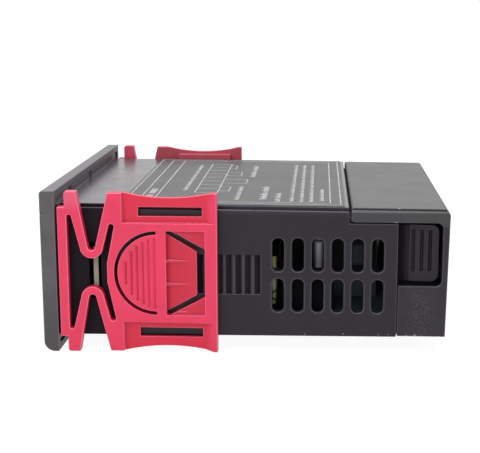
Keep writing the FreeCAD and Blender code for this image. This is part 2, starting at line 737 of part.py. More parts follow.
def digit_segments():
    """Seven light bars for each of three digits, leaning a little, and one decimal point."""
    x = (DIGIT_FACE - SEGMENT_RISE, DIGIT_FACE)
    tip = SEGMENT_WIDTH / 2
    flat = DIGIT_WIDTH / 2 - SEGMENT_GAP
    tall = DIGIT_HEIGHT / 4 - SEGMENT_GAP
    level = bar_outline(flat, tip)
    upright = [(y, z) for z, y in bar_outline(tall, tip)]
    bars = [(level, 0.0, row * DIGIT_HEIGHT / 2) for row in (-1, 0, 1)]
    for side in (-1, 1):
        for row in (-1, 1):
            bars.append((upright, side * DIGIT_WIDTH / 2, row * DIGIT_HEIGHT / 4))
    solids = []
    for digit in (-1, 0, 1):
        middle = WINDOW_CENTRE_Y + digit * DIGIT_PITCH
        for outline, bar_y, bar_z in bars:
            points = [(middle + bar_y + y - (bar_z + z) * DIGIT_LEAN, bar_z + z) for y, z in outline]
            solids.append(along_x(points, x))
    point_y = WINDOW_CENTRE_Y - DIGIT_PITCH / 2
    low, high = centred((point_y, -DIGIT_HEIGHT / 2), (2 * POINT_RADIUS, 2 * POINT_RADIUS))
    solids.append(along_x(softened(low, high, POINT_RADIUS), x))
    return solids


def digit_display():
    """The block that carries the light bars."""
    block_x = (DIGIT_FACE, DISPLAY_BOARD_X[0])
    return x_bar(block_x, WINDOW_CENTRE_Y, 0.0, 2 * DIGIT_BLOCK_Y, 2 * DIGIT_BLOCK_Z)


def indicator_leds():
    """Two small flat lamps beside the digits."""
    return [x_bar((LED_FRONT, DISPLAY_BOARD_X[0]), LED_Y, z, *LED_SIZE) for z in LED_Z]


def main_board():
    """The flat board, narrower where it passes into the terminal bay."""
    board = block((MAIN_BOARD_X[0], BOARD_NECK_X), (-MAIN_BOARD_Y, MAIN_BOARD_Y), MAIN_BOARD_Z)
    neck = block((BOARD_NECK_X, MAIN_BOARD_X[1]), (-BOARD_NECK_Y, BOARD_NECK_Y), MAIN_BOARD_Z)
    return board.fuse(neck).removeSplitter()


def on_board(x, y, length, width, height):
    """A block that stands on the main board, about a middle in X and Y."""
    low, high = centred((x, y), (length, width))
    return block((low[0], high[0]), (low[1], high[1]), (BOARD_TOP, BOARD_TOP + height))


def relay(x, y):
    """A sealed relay with bevelled upper edges."""
    body = on_board(x, y, *RELAY_SIZE)
    top = BOARD_TOP + RELAY_SIZE[2]
    return body.makeChamfer(RELAY_BEVEL, edges_where(body, lambda b: near(b.ZMin, top)))


def capacitor(x, y, radius, height):
    """An upright can with a bevelled top edge."""
    top = BOARD_TOP + height
    low, high = centred((x, y), (2 * radius, 2 * radius))
    can = along_z(softened(low, high, radius, ROUND_STEPS), (BOARD_TOP, top))
    return can.makeChamfer(CAPACITOR_BEVEL, edges_where(can, lambda b: near(b.ZMin, top)))


def varistor():
    """A disc that stands on two leads."""
    x, y, radius, thickness = VARISTOR
    middle = BOARD_TOP + LEAD_LENGTH + radius
    low, high = centred((x, middle), (2 * radius, 2 * radius))
    disc = along_y(softened(low, high, radius, ROUND_STEPS), (y - thickness / 2, y + thickness / 2))
    leads = []
    for side in (-1, 1):
        lead_x = x + side * LEAD_SPREAD
        low, high = centred((lead_x, y), (LEAD_SIDE, LEAD_SIDE))
        leads.append(block((low[0], high[0]), (low[1], high[1]), (BOARD_TOP, middle)))
    return disc.fuse(leads).removeSplitter()


def buzzer():
    """A round sounder with a sound hole in its top."""
    x, y, radius, height = BUZZER
    top = BOARD_TOP + height
    low, high = centred((x, y), (2 * radius, 2 * radius))
    body = along_z(softened(low, high, radius, ROUND_STEPS), (BOARD_TOP, top))
    low, high = centred((x, y), (2 * BUZZER_HOLE, 2 * BUZZER_HOLE))
    return body.cut(along_z(softened(low, high, BUZZER_HOLE), (top - BUZZER_HOLE_DEPTH, top + BEYOND)))


def transformer():
    """Core, bobbin, winding and tape of the transformer."""
    middle_y = sum(CORE_Y) / 2
    leg = (middle_y - MIDDLE_LEG / 2, middle_y + MIDDLE_LEG / 2)
    window_x = (CORE_X[0] + YOKE, CORE_X[1] - YOKE)
    windows = [
        block(window_x, (CORE_Y[0] + YOKE, leg[0]), CORE_Z),
        block(window_x, (leg[1], CORE_Y[1] - YOKE), CORE_Z),
    ]
    core = block(CORE_X, CORE_Y, CORE_Z).cut(windows)
    coil_y = (CORE_Y[0] + YOKE + WINDING_PLAY, CORE_Y[1] - YOKE - WINDING_PLAY)
    coil_x = (window_x[0] + BOBBIN_WALL, window_x[1] - BOBBIN_WALL)
    tube_y = (leg[0] - BOBBIN_WALL, leg[1] + BOBBIN_WALL)
    tube_z = (CORE_Z[0] - BOBBIN_WALL, CORE_Z[1] + BOBBIN_WALL)
    tube = block(window_x, tube_y, tube_z)
    coil_low = (coil_y[0], WINDING_Z[0])
    coil_high = (coil_y[1], WINDING_Z[1])
    winding = along_x(softened(coil_low, coil_high, WINDING_ROUND), coil_x).cut(tube)
    flange_z = (BOARD_TOP, WINDING_Z[1] + BOBBIN_FLANGE_RISE)
    flanges = [
        block((window_x[0], coil_x[0]), coil_y, flange_z),
        block((coil_x[1], window_x[1]), coil_y, flange_z),
    ]
    feet = [
        block((CORE_X[0], coil_x[0]), coil_y, (BOARD_TOP, CORE_Z[0])),
        block((coil_x[1], CORE_X[1]), coil_y, (BOARD_TOP, CORE_Z[0])),
    ]
    bobbin = tube.fuse(flanges + feet).cut(block(CORE_X, leg, CORE_Z)).removeSplitter()
    belt_x = (CORE_X[0] - TAPE_THICKNESS, CORE_X[1] + TAPE_THICKNESS)
    belt_y = (CORE_Y[0] - TAPE_THICKNESS, CORE_Y[1] + TAPE_THICKNESS)
    tape = block(belt_x, belt_y, TAPE_Z).cut(block(CORE_X, CORE_Y, TAPE_Z))
    return {
        "transformer_core": core,
        "transformer_bobbin": bobbin,
        "transformer_winding": winding,
        "transformer_tape": tape,
    }


def way_places():
    """Y of the middle of each terminal way."""
    return [(way - (WAY_COUNT - 1) / 2) * WAY_PITCH for way in range(WAY_COUNT)]


def shank(y):
    """The plain shank of a terminal screw, through its clamp plate and into the strip."""
    rear = STRIP_X[1] + CLAMP_THICKNESS
    low, high = centred((y, CLAMP_Z), (2 * SCREW_SHANK_RADIUS, 2 * SCREW_SHANK_RADIUS))
    return along_x(softened(low, high, SCREW_SHANK_RADIUS, FINE_STEPS), (rear - SCREW_SHANK_LENGTH, rear))


def terminal_block():
    """The barrier strip: a bank with a foot, and fins between the ways."""
    bank = along_y(
        [
            (STRIP_X[0], BOARD_TOP),
            (FIN_REAR, BOARD_TOP),
            (FIN_REAR, STRIP_FOOT_TOP),
            (STRIP_X[1], STRIP_FOOT_TOP),
            (STRIP_X[1], STRIP_TOP),
            (STRIP_X[0], STRIP_TOP),
        ],
        (-STRIP_HALF_WIDTH, STRIP_HALF_WIDTH),
    )
    fin_outline = [
        (STRIP_X[0], BOARD_TOP),
        (FIN_REAR, BOARD_TOP),
        (FIN_REAR, STRIP_TOP - FIN_BEVEL),
        (FIN_REAR - FIN_BEVEL, STRIP_TOP),
        (STRIP_X[0], STRIP_TOP),
    ]
    fin_pitch = (2 * STRIP_HALF_WIDTH - FIN_THICKNESS) / WAY_COUNT
    fins = []
    for edge in range(WAY_COUNT + 1):
        y = (edge - WAY_COUNT / 2) * fin_pitch
        fins.append(along_y(fin_outline, (y - FIN_THICKNESS / 2, y + FIN_THICKNESS / 2)))
    return bank.fuse(fins).cut([shank(y) for y in way_places()]).removeSplitter()


def terminal_screws():
    """A slotted screw for each way."""
    head_x = (STRIP_X[1] + CLAMP_THICKNESS, STRIP_X[1] + CLAMP_THICKNESS + SCREW_HEAD_HEIGHT)
    width, depth = SCREW_SLOT
    screws = []
    for y in way_places():
        low, high = centred((y, CLAMP_Z), (2 * SCREW_HEAD_RADIUS, 2 * SCREW_HEAD_RADIUS))
        head = along_x(softened(low, high, SCREW_HEAD_RADIUS), head_x)
        slot = x_bar((head_x[1] - depth, head_x[1] + BEYOND), y, CLAMP_Z, width, 3 * SCREW_HEAD_RADIUS)
        screws.append(head.cut(slot).fuse(shank(y)).removeSplitter())
    return screws


def terminal_clamps():
    """A clamp plate under each screw."""
    plates = []
    for y in way_places():
        plate = x_bar((STRIP_X[1], STRIP_X[1] + CLAMP_THICKNESS), y, CLAMP_Z, *CLAMP_SIZE)
        plates.append(plate.cut(shank(y)))
    return plates


def rating_label():
    """A thin sheet on the lid."""
    return along_y(band(LABEL_X, 0.0, LABEL_THICKNESS), (-LABEL_HALF_WIDTH, LABEL_HALF_WIDTH))


def clip_outline():
    """The upper half of the clip in side view: pusher bar, folded spring and plate."""
    slot_x = BAR_X[1] + SPRING_SLOT_ROUND
    gap_x = sum(GAP_X) / 2
    gap_round = (GAP_X[1] - GAP_X[0]) / 2
    return [
        (BAR_X[0], 0.0),
        (BAR_X[0], BAR_TOP),
        (EAR_FRONT, BAR_TOP),
        (EAR_FRONT, EAR_TOP - EAR_BEVEL[1]),
        (EAR_FRONT + EAR_BEVEL[0], EAR_TOP),
        (LEG_TOP_X[0], EAR_TOP),
        (BEND_X - BEND_INNER, BEND_Z),
        ((BEND_X, BEND_Z - BEND_INNER), (BEND_X + BEND_INNER, BEND_Z)),
        (LEG_TOP_X[1], CLIP_TOP),
        (TOP_ARC_X[0], CLIP_TOP),
        ((sum(TOP_ARC_X) / 2, TOP_ARC_DIP), (TOP_ARC_X[1], CLIP_TOP)),
        (CLIP_REAR, CLIP_TOP),
        (CLIP_REAR, 0.0),
        (PLATE_FRONT, 0.0),
        (PLATE_FRONT, PLATE_FRONT_Z),
        (GAP_X[1], GAP_TOP),
        ((gap_x, GAP_TOP + gap_round), (GAP_X[0], GAP_TOP)),
        (BEND_X + BEND_OUTER, BEND_OUTER_Z),
        ((BEND_X, BEND_Z - BEND_OUTER), (BEND_X - BEND_OUTER, BEND_OUTER_Z)),
        (slot_x + SPRING_SLOT_ROUND, SPRING_SLOT_TOP),
        ((slot_x, SPRING_SLOT_TOP + SPRING_SLOT_ROUND), (BAR_X[1], SPRING_SLOT_TOP)),
        (BAR_X[1], 0.0),
    ]


def pad_tools(face):
    """The round slot that frees the thumb pad, and the pad's grip ribs."""
    inner, outer = PAD_SLOT
    slot = [
        (PAD_X, outer),
        ((PAD_X - outer, 0.0), (PAD_X, -outer)),
        (PAD_X, -inner),
        ((PAD_X - inner, 0.0), (PAD_X, inner)),
    ]
    tools = [along_y(slot, (CLIP_INNER - BEYOND, CLIP_OUTER + BEYOND))]
    for rib in range(PAD_RIB_COUNT):
        x = PAD_X - PAD_RIB_PITCH * (rib + 0.5)
        far_x = PAD_RIB_PITCH * (rib + 1)
        half = math.sqrt(max(PAD_RIB_RADIUS ** 2 - far_x ** 2, PAD_LAST_RIB ** 2))
        mouth = (x - PAD_RIB_WIDTH / 2, x + PAD_RIB_WIDTH / 2)
        bottom = (x + PAD_RIB_LEAN, face - PAD_RIB_DEPTH)
        tools.append(along_z([(mouth[0], face), (mouth[1], face), bottom], (-half, half)))
    return tools


def flap_tools(face):
    """The window behind the pad: slots round a flap that ramps up between two ribs."""
    front, rear = FLAP_X
    window_half = FLAP_WINDOW_HALF
    upper = [(front, window_half), (FLAP_SLOT_TOP_X, window_half), (FLAP_WINDOW_REAR, FLAP_SLOT_HALF)]
    lower = [(x, -z) for x, z in reversed(upper)]
    flap = [(front, -FLAP_HALF[0]), (rear, -FLAP_HALF[1]), (rear, FLAP_HALF[1]), (front, FLAP_HALF[0])]
    floor = face - FLAP_DEPTH
    recess = block((front, FLAP_WINDOW_REAR), (floor, face + BEYOND), (-window_half, window_half))
    ramp_outline = [(front, floor), (front, face - FLAP_RAMP_DEPTH), (FLAP_RAMP_X, floor)]
    ramp = along_z(ramp_outline, (-FLAP_HALF[0], FLAP_HALF[0]))
    ribs = []
    for side in (-1, 1):
        rib_z = sorted(side * z for z in FLAP_RIB_Z)
        ribs.append(block((front - BEYOND, rear), (CLIP_INNER, CLIP_OUTER), rib_z))
    slots = along_y(upper + lower + flap, (CLIP_INNER - BEYOND, CLIP_OUTER + BEYOND))
    return [slots, recess, ramp.cut(ribs)]


def mounting_clip():
    """The +Y clip as one moulding, made in halves about its middle and joined."""
    half = along_y(clip_outline(), (CLIP_INNER, CLIP_OUTER))
    plate = half.fuse(mirror_z(half)).removeSplitter()
    face = CLIP_OUTER
    outer_edges = edges_where(plate, lambda b: near(b.YMin, face))
    plate = plate.makeChamfer(CLIP_CHAMFER, outer_edges)
    pocket = [
        (POCKET_X[0], face + BEYOND),
        (POCKET_X[0], face - POCKET_DEPTH),
        (POCKET_RAMP_X, face - POCKET_DEPTH),
        (POCKET_X[1], face),
        (POCKET_X[1], face + BEYOND),
    ]
    upper_tools = [
        along_z(pocket, (POCKET_Z, CLIP_TOP + BEYOND)),
        block(CLIP_SLOT_X, (CLIP_INNER - BEYOND, CLIP_OUTER + BEYOND), CLIP_SLOT_Z),
    ]
    tools = upper_tools + [mirror_z(tool) for tool in upper_tools] + pad_tools(face) + flap_tools(face)
    plate = plate.cut(tools)
    hook = block(HOOK_X, (HOOK_LIP_Y[0], CLIP_INNER + ROOT), HOOK_Z)
    lip = block(HOOK_X, HOOK_LIP_Y, (HOOK_LIP_Z, HOOK_Z[1]))
    hooks = [hook, lip, mirror_z(hook), mirror_z(lip)]
    return plate.fuse(hooks).removeSplitter()


def all_nodes():
    """Every node's name with its solid, or its group of like solids."""
    clip = mounting_clip()
    nodes = {
        "case_shell": case_shell(),
        "front_bezel": front_bezel(),
        "display_window": display_window(),
        "display_board": display_board(),
        "digit_display": digit_display(),
        "digit_segments": digit_segments(),
        "indicator_leds": indicator_leds(),
        "switch_bodies": [switch_body(y, z) for _, y, z in key_places()],
        "main_board": main_board(),
        "board_header": on_board(*HEADER),
        "filter_capacitor": capacitor(*FILTER_CAPACITOR),
        "suppression_capacitor": on_board(*SUPPRESSION_CAPACITOR),
        "smoothing_capacitor": capacitor(*SMOOTHING_CAPACITOR),
        "controller_chip": on_board(*CHIP),
        "voltage_regulator": on_board(*REGULATOR),
        "varistor": varistor(),
        "buzzer": buzzer(),
        "terminal_block": terminal_block(),
        "terminal_screws": terminal_screws(),
        "terminal_clamps": terminal_clamps(),
        "terminal_cover": terminal_cover(),
        "rating_label": rating_label(),
        "mounting_clip_left": clip,
        "mounting_clip_right": mirror_y(clip),
    }
    nodes.update(transformer())
    for name, (x, y) in RELAY_PLACES.items():
        nodes[name] = relay(x, y)
    for name, y, z in key_places():
        nodes["key_" + name] = key_cap(y, z)
        nodes[name + "_plunger"] = x_bar(PLUNGER_X, y, z, PLUNGER_SIDE, PLUNGER_SIDE)
    return nodes


def main():
    os.makedirs("parts", exist_ok=True)
    for name, made in all_nodes().items():
        shape = Part.Compound(made) if isinstance(made, list) else made
        shape.exportStep("parts/" + name + ".step")
        print(name, "solids", len(shape.Solids), "valid", shape.isValid(), "volume", round(shape.Volume, 1))


main()
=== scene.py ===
"""Finishes and small pieces of a panel-mount temperature controller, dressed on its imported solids."""

import contextlib
import itertools
import json
import math

import bmesh
import bpy
from bpy.types import Operator, Panel, PropertyGroup
from mathutils import Matrix, Vector

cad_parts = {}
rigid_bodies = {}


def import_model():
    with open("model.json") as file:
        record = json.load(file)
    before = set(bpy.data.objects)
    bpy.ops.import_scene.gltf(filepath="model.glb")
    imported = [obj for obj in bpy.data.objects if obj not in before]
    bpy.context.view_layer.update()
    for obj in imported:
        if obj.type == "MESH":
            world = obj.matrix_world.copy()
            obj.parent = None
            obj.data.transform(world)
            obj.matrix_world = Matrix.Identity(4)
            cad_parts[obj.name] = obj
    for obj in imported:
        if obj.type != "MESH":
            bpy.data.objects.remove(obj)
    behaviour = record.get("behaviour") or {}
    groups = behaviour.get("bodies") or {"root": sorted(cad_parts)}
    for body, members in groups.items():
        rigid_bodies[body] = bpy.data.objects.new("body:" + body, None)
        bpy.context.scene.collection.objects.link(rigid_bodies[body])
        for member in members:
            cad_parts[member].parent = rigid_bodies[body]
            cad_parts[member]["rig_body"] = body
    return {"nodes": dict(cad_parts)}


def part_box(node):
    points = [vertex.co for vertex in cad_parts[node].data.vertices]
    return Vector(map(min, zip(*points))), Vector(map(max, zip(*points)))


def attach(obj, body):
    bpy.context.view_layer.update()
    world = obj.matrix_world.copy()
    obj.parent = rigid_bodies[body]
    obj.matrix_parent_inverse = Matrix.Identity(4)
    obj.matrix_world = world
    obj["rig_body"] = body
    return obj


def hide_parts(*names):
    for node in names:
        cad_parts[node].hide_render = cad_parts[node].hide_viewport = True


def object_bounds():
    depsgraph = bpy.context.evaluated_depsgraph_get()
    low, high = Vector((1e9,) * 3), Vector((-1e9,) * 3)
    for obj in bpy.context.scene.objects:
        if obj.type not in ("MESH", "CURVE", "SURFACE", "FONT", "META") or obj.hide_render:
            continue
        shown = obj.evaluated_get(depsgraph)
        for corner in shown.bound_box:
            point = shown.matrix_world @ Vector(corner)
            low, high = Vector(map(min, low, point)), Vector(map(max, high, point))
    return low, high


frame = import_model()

bl_info = {
    "name": "Temperature Controller Looks",
    "version": (1, 0, 0),
    "blender": (4, 5, 0),
    "location": "View3D > Sidebar > Controller",
    "description": "Mouldings, label print, key signs and finishes of a panel-mount temperature controller",
    "category": "Object",
}

MM = 0.001
CAD_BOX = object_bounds()

WELD = 1e-6  # points closer than this are one point, in metres
FLAT = math.radians(0.3)  # faces that turn by less lie in one plane
SHARP = math.radians(50)  # edges that turn by more get a round
LEAD_ARC = math.radians(36)  # turn of a winding lead
MARK_PITCH = 0.62  # width of a printed block with its gap, as a share of its height
MARK_WIDTH = 0.67  # width of a printed block, as a share of its pitch
WHITE = (1.0, 1.0, 1.0)
GLOSS_TINT = (0.93, 0.90, 1.0)  # slightly violet shine of the dark plastics

# Lengths in millimetres. A box is a low and a high corner, on the side with positive Y.
ACROSS = (-60.0, 60.0)  # past both sides of the object
FRONT_END = 12.6  # end along X of the case's front zone, which is painted in shade
FRONT_ZONE = ((-20.0, 30.0, -40.0), (FRONT_END, 60.0, 40.0))
LID = ((0.0, -1.0, 13.2), (61.0, 60.0, 20.0))
TEETH_X, TEETH_Z = (20.7, 42.7), (-4.6, 3.6)  # where the ratchet lies
TEETH_SLOPES = ((20.7, 34.3, -4.7), (42.7, 34.96, 3.7))
TEETH_CRESTS = (34.8, 34.98)  # distances from the middle plane: crests, with wear and painted lighter as highlights
WALL_SKIN = (33.5, 34.9)  # and skin of the side walls
BEND_X = (72.6, 73.6)  # where a finger bends out of the shade
FINGER_ROOT = ((71.0, 31.5, -2.0), (BEND_X[0], 33.5, 10.3))
FINGER_BEND = ((BEND_X[0], 31.5, -2.0), (BEND_X[1], 33.53, 10.3))
FINGER_FACE = ((70.0, 33.0, -0.1), (82.0, 33.6, 9.4))
GROOVES = (74.3, 76.05, 77.8)  # middles of the grooves in a finger
GROOVE_FLOOR = 33.4  # faces nearer to the middle plane lie in a groove
VENT_FIRST, VENT_PITCH, VENT_COLUMNS = 46.34, 4.13, 6  # middle of the first, step and number along X
VENT_ROWS = (3.8, -4.9)  # middles of the two rows of vents
VENT_SIZE = (2.44, 7.04)  # width and height, a hair over the solid's
VENT_END = 1.12  # round of a vent's corners
VENT_DEPTH = (33.6, 36.5)  # through the side wall
VENT_RIMS = ((44.5, 35.2, -9.0), (69.0, 40.0, 8.0))
EXIT_RIB = (79.4, 29.1, -6.3), (1.9, 0.9, 10.6)  # middle and size of the rib beside the cable exit, put there so that the view out through the gap is blocked and shows shade
GAP_RIB = (61.35, 33.75, 11.1), (0.8, 0.9, 1.2)  # and at an end of the gap before the cover, likewise blocking the view through
RIB_ROUND = 0.1
CLIP_FACE = max(abs(corner.y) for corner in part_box("mounting_clip_left")) / MM  # outer face of a clip
PAD_X, PAD_RADIUS = 21.1, 7.9  # straight edge and radius of the ribs on a thumb pad
KEYS = ("up", "power", "down", "menu")
ARROW_RADIUS = 1.55
RING_RADIUS, RING_HOLE, RING_GAP = 1.5, 0.72, 0.62  # the power sign: radius, hole as a share of it, half the gap
CAN_RIM, CAN_ROUND, CAN_SINK = 0.6, 0.24, 0.3  # rim, its round, and depth of the top
LEAD_RADIUS, LEAD_SWEEP, LEAD_SETBACK = 0.17, 3.0, 0.8  # wire, bend and distance from the rear corner
LEADS = ((2.7, 10.0), (7.7, -40.0), (9.5, 25.0))  # depth below the tape's top and slant in degrees of each lead
LABEL_FRAMES = (((13.5, 59.3), (-31.4, 31.4)), ((16.3, 57.1), (-29.6, 29.6)))  # limits along X and along Y
LABEL_RULE = ((19.4, 0.0), 59.2)  # middle and length of the line under the title
TITLE_X, TITLE_START, TITLE_PITCH, TITLE_BLOCK = 17.9, -28.0, 1.55, (1.4, 1.1)
PRINT_ROWS = (  # place along X, limits along Y, height, and lengths of the words
    (24.6, (-16.0, 22.0), 1.0, (4, 6, 3, 5, 4, 6)),
    (37.0, (-27.0, -10.0), 1.1, (4, 3, 5)),
    (38.6, (4.0, 22.0), 1.3, (5, 4)),
    (42.6, (-26.0, -9.6), 1.6, (5, 4)),
    (45.8, (-28.5, -18.0), 1.2, (2, 5)),
    (48.8, (-28.0, 25.0), 0.9, (5, 3, 7, 4, 6, 3, 5, 8, 4)),
    (50.9, (-28.0, 25.0), 0.9, (3, 6, 4, 8, 5, 3, 7, 4, 5)),
    (53.0, (-28.0, 25.0), 0.9, (6, 4, 3, 5, 7, 4, 6, 3, 4)),
    (55.3, (-27.0, -12.0), 0.9, (4, 6)),
)


# Settings

def colour(name, description, default):
    """A colour that the user can change."""
    return bpy.props.FloatVectorProperty(
        name=name, description=description, subtype="COLOR", size=3, min=0.0, max=1.0, default=default
    )


def number(name, description, default, **limits):
    """A number that the user can change."""
    return bpy.props.FloatProperty(name=name, description=description, default=default, **limits)


def length(name, description, millimetres):
    """A length that the user can change, in metres."""
    return number(name, description, millimetres * MM, unit="LENGTH", precision=5, min=0.0)


def angle(name, description, degrees):
    """An angle that the user can change."""
    return number(name, description, math.radians(degrees), subtype="ANGLE")


class MouldingSettings(PropertyGroup):
    """Colours and edge rounds of the plastic mouldings."""

    case_colour: colour("Case", "Plastic of the case", (0.0085, 0.0058, 0.0095))
    # The lid's colour is a lighter copy of the dark plastic: polished plastic with a painted highlight on top.
    lid_highlight_colour: colour("Lid", "Polished plastic of the case's lid, painted lighter as a highlight", (0.054, 0.045, 0.054))
    bezel_colour: colour("Bezel", "Plastic of the front frame", (0.076, 0.070, 0.076))
    cover_colour: colour("Cover", "Plastic of the rear cover", (0.0120, 0.0095, 0.0130))
    # The hood band and the cover's top are painted lighter as highlights.
    hood_highlight_colour: colour("Hood", "Upper side walls of the rear cover, painted lighter as a highlight", (0.034, 0.033, 0.033))
    cover_top_highlight_colour: colour("Cover top highlight", "Top of the rear cover, painted lighter as a highlight", (0.046, 0.045, 0.046))
    clip_colour: colour("Clips", "Plastic of the mounting clips", (0.62, 0.026, 0.080))
    # The backs of the clips are painted darker as shade.
    clip_back_shade_colour: colour("Clip backs", "Backs of the clips, painted in shade", (0.40, 0.060, 0.088))
    dust_colour: colour("Dust", "Specks on the dark plastic", (0.050, 0.047, 0.050))
    # Ratchet crests: partly wear, partly a painted highlight.
    crest_wear_and_highlight_colour: colour("Crests", "Worn crests of the ratchet, painted lighter as highlights", (0.030, 0.028, 0.033))
    scuff_colour: colour("Scuffs", "Bruised plastic along the lower edges", (0.30, 0.29, 0.29))
    # Rounds of the dark plastic are painted lighter as highlights.
    edge_highlight_colour: colour("Edges", "Rounded edges of the dark plastic, painted lighter as highlights", (0.034, 0.031, 0.036))
    case_round: length("Case edges", "Round on the case's edges", 0.19)
    bezel_round: length("Bezel edges", "Round on the bezel's edges", 0.14)
    cover_round: length("Cover edges", "Round on the cover's edges", 0.2)
    clip_round: length("Clip edges", "Round on the clips' edges", 0.08)
    vent_round: length("Vent rims", "Round on the vents' outer rims", 0.32)
    front_round: length("Front edges", "Round on the bezel's outer front edges", 0.5)
    small_round: length("Small edges", "Round on small parts", 0.07)
    tape_round: length("Tape corners", "Round where the tape goes round its corners", 0.6)


class LabelSettings(PropertyGroup):
    """The sheet on the lid and its print."""

    sheet_colour: colour("Sheet", "Ground of the label", (0.050, 0.049, 0.052))
    print_colour: colour("Print", "Bars and lines on the label", (0.38, 0.375, 0.38))
    line_width: length("Line width", "Width of the thin printed lines", 0.24)
    print_rise: length("Print rise", "Height of the ink above the sheet", 0.02)


class FrontSettings(PropertyGroup):
    """Keys and window of the front."""

    key_colour: colour("Keys", "Plastic of the keys", (0.13, 0.13, 0.135))
    sign_colour: colour("Signs", "Signs on the keys", (0.78, 0.78, 0.77))
    lens_colour: colour("Lens", "Tint of the smoked window", (0.016, 0.012, 0.013))
    sign_rise: length("Sign rise", "Height of a sign above its key", 0.06)


class StageSettings(PropertyGroup):
    """Floor, light and camera."""

    floor_colour: colour("Floor", "Pale floor", (0.95, 0.95, 0.945))
    floor_glow: number("Floor glow", "Brightness of the floor where no shadow falls", 1.07, min=0.0)
    shadow: number("Shadow", "Share of the floor's own shading that is seen", 0.12, min=0.0, max=1.0)
    ambient: number("Ambient", "Strength of the light from all round", 0.5, min=0.0)
    camera_place: bpy.props.FloatVectorProperty(
        name="Camera place", description="Where the camera stands", subtype="TRANSLATION", unit="LENGTH", size=3,
        default=(0.05472, -0.26018, 0.05581),
    )
    camera_lens: number("Focal length", "Focal length on a sensor 36 mm wide", 83.3, unit="CAMERA", min=1.0)
    heading: angle("Heading", "Turn of the view to the left of +Y", 4.14)
    look_down: angle("Look down", "Angle of the view below level", 11.54)
    roll: angle("Roll", "Turn of the camera about its view", -0.23)


# Node trees

class Graph:
    """Adds nodes to an emptied tree, with values or links for their inputs."""

    def __init__(self, tree):
        self.tree = tree
        tree.nodes.clear()

    def add(self, kind, inputs=None, **settings):
        """A new node. An input, by name or number, is linked to a socket or set to a value."""
        node = self.tree.nodes.new(kind)
        for name, value in settings.items():
            setattr(node, name, value)
        for key, value in (inputs or {}).items():
            self.feed(node.inputs[key], value)
        return node

    def feed(self, socket, value):
        """Links or sets an input. A colour may leave out its alpha."""
        if isinstance(value, bpy.types.NodeSocket):
            self.tree.links.new(value, socket)
        elif socket.type == "RGBA":
            socket.default_value = (*value, 1.0)[:4]
        else:
            socket.default_value = value

    def math(self, operation, *values):
        """The result of a Math node."""
        return self.add("ShaderNodeMath", dict(enumerate(values)), operation=operation).outputs[0]

    def ramp(self, value, start, end, low=0.0, high=1.0):
        """A value mapped smoothly from one range to another."""
        inputs = {"Value": value, "From Min": start, "From Max": end, "To Min": low, "To Max": high}
        return self.add("ShaderNodeMapRange", inputs, interpolation_type="SMOOTHSTEP").outputs["Result"]

    def mix(self, factor, first, second):
        """Two colours mixed by a factor."""
        return self.add("ShaderNodeMix", {0: factor, 6: first, 7: second}, data_type="RGBA").outputs[2]

    def bump(self, height, strength, relief):
        """A normal roughened by a height, with the relief in millimetres."""
        inputs = {"Height": height, "Strength": strength, "Distance": relief * MM}
        return self.add("ShaderNodeBump", inputs).outputs["Normal"]

    def group(self, tree, values):
        """The outputs of a shared node group."""
        return self.add("ShaderNodeGroup", values, node_tree=tree).outputs


def effect_group(name, inputs, outputs, wire):
    """A node group that is made once. Its wiring starts from Object coordinates and its inputs."""
    if name in bpy.data.node_groups:
        return bpy.data.node_groups[name]
    tree = bpy.data.node_groups.new(name, "ShaderNodeTree")
    for label, default in inputs.items():
        kind = "NodeSocketVector" if isinstance(default, tuple) else "NodeSocketFloat"
        tree.interface.new_socket(label, in_out="INPUT", socket_type=kind).default_value = default
    for label in outputs:
        tree.interface.new_socket(label, in_out="OUTPUT", socket_type="NodeSocketFloat")
    graph = Graph(tree)
    place = graph.add("ShaderNodeTexCoord").outputs["Object"]
    given = graph.add("NodeGroupInput").outputs
    results = wire(graph, place, *[given[label] for label in inputs])
    graph.add("NodeGroupOutput", dict(zip(outputs, results)))
    return tree


def moulded_grain():
    """Fine grain and broad clouds of a moulded or sintered surface."""
    def wire(graph, place, grain_scale, cloud_scale):
        grain = graph.add("ShaderNodeTexNoise", {"Vector": place, "Scale": grain_scale, "Detail": 2.0})
        clouds = graph.add("ShaderNodeTexNoise", {"Vector": place, "Scale": cloud_scale, "Detail": 4.0})
        return grain.outputs["Fac"], graph.ramp(clouds.outputs["Fac"], 0.3, 0.7)

    return effect_group("Moulded Grain", {"Grain Scale": 6000.0, "Cloud Scale": 160.0}, ("Grain", "Clouds"), wire)


def settled_dust():
    """Small specks, one in each cell that is chosen."""
    def wire(graph, place, scale, size, share):
        cells = graph.add("ShaderNodeTexVoronoi", {"Vector": place, "Scale": scale})
        pick = graph.add("ShaderNodeSeparateColor", {"Color": cells.outputs["Color"]})
        chosen = graph.math("LESS_THAN", pick.outputs["Red"], share)
        reach = graph.math("MULTIPLY", size, graph.math("ADD", pick.outputs["Green"], 0.35))
        near = graph.math("LESS_THAN", cells.outputs["Distance"], reach)
        return [graph.math("MULTIPLY", chosen, near)]

    return effect_group("Settled Dust", {"Scale": 1400.0, "Size": 0.2, "Share": 0.1}, ["Specks"], wire)


def inside_box():
    """1 inside a box, falling to 0 at its faces."""
    def wire(graph, place, low, high, fade):
        margins = []
        for first, second in ((place, low), (high, place)):
            difference = graph.add("ShaderNodeVectorMath", {0: first, 1: second}, operation="SUBTRACT").outputs[0]
            x, y, z = graph.add("ShaderNodeSeparateXYZ", {"Vector": difference}).outputs
            margins.append(graph.math("MINIMUM", graph.math("MINIMUM", x, y), z))
        return [graph.ramp(graph.math("MINIMUM", *margins), 0.0, fade)]

    inputs = {"Low": (-1.0, -1.0, -1.0), "High": (1.0, 1.0, 1.0), "Fade": 0.001}
    return effect_group("Inside Box", inputs, ["Inside"], wire)


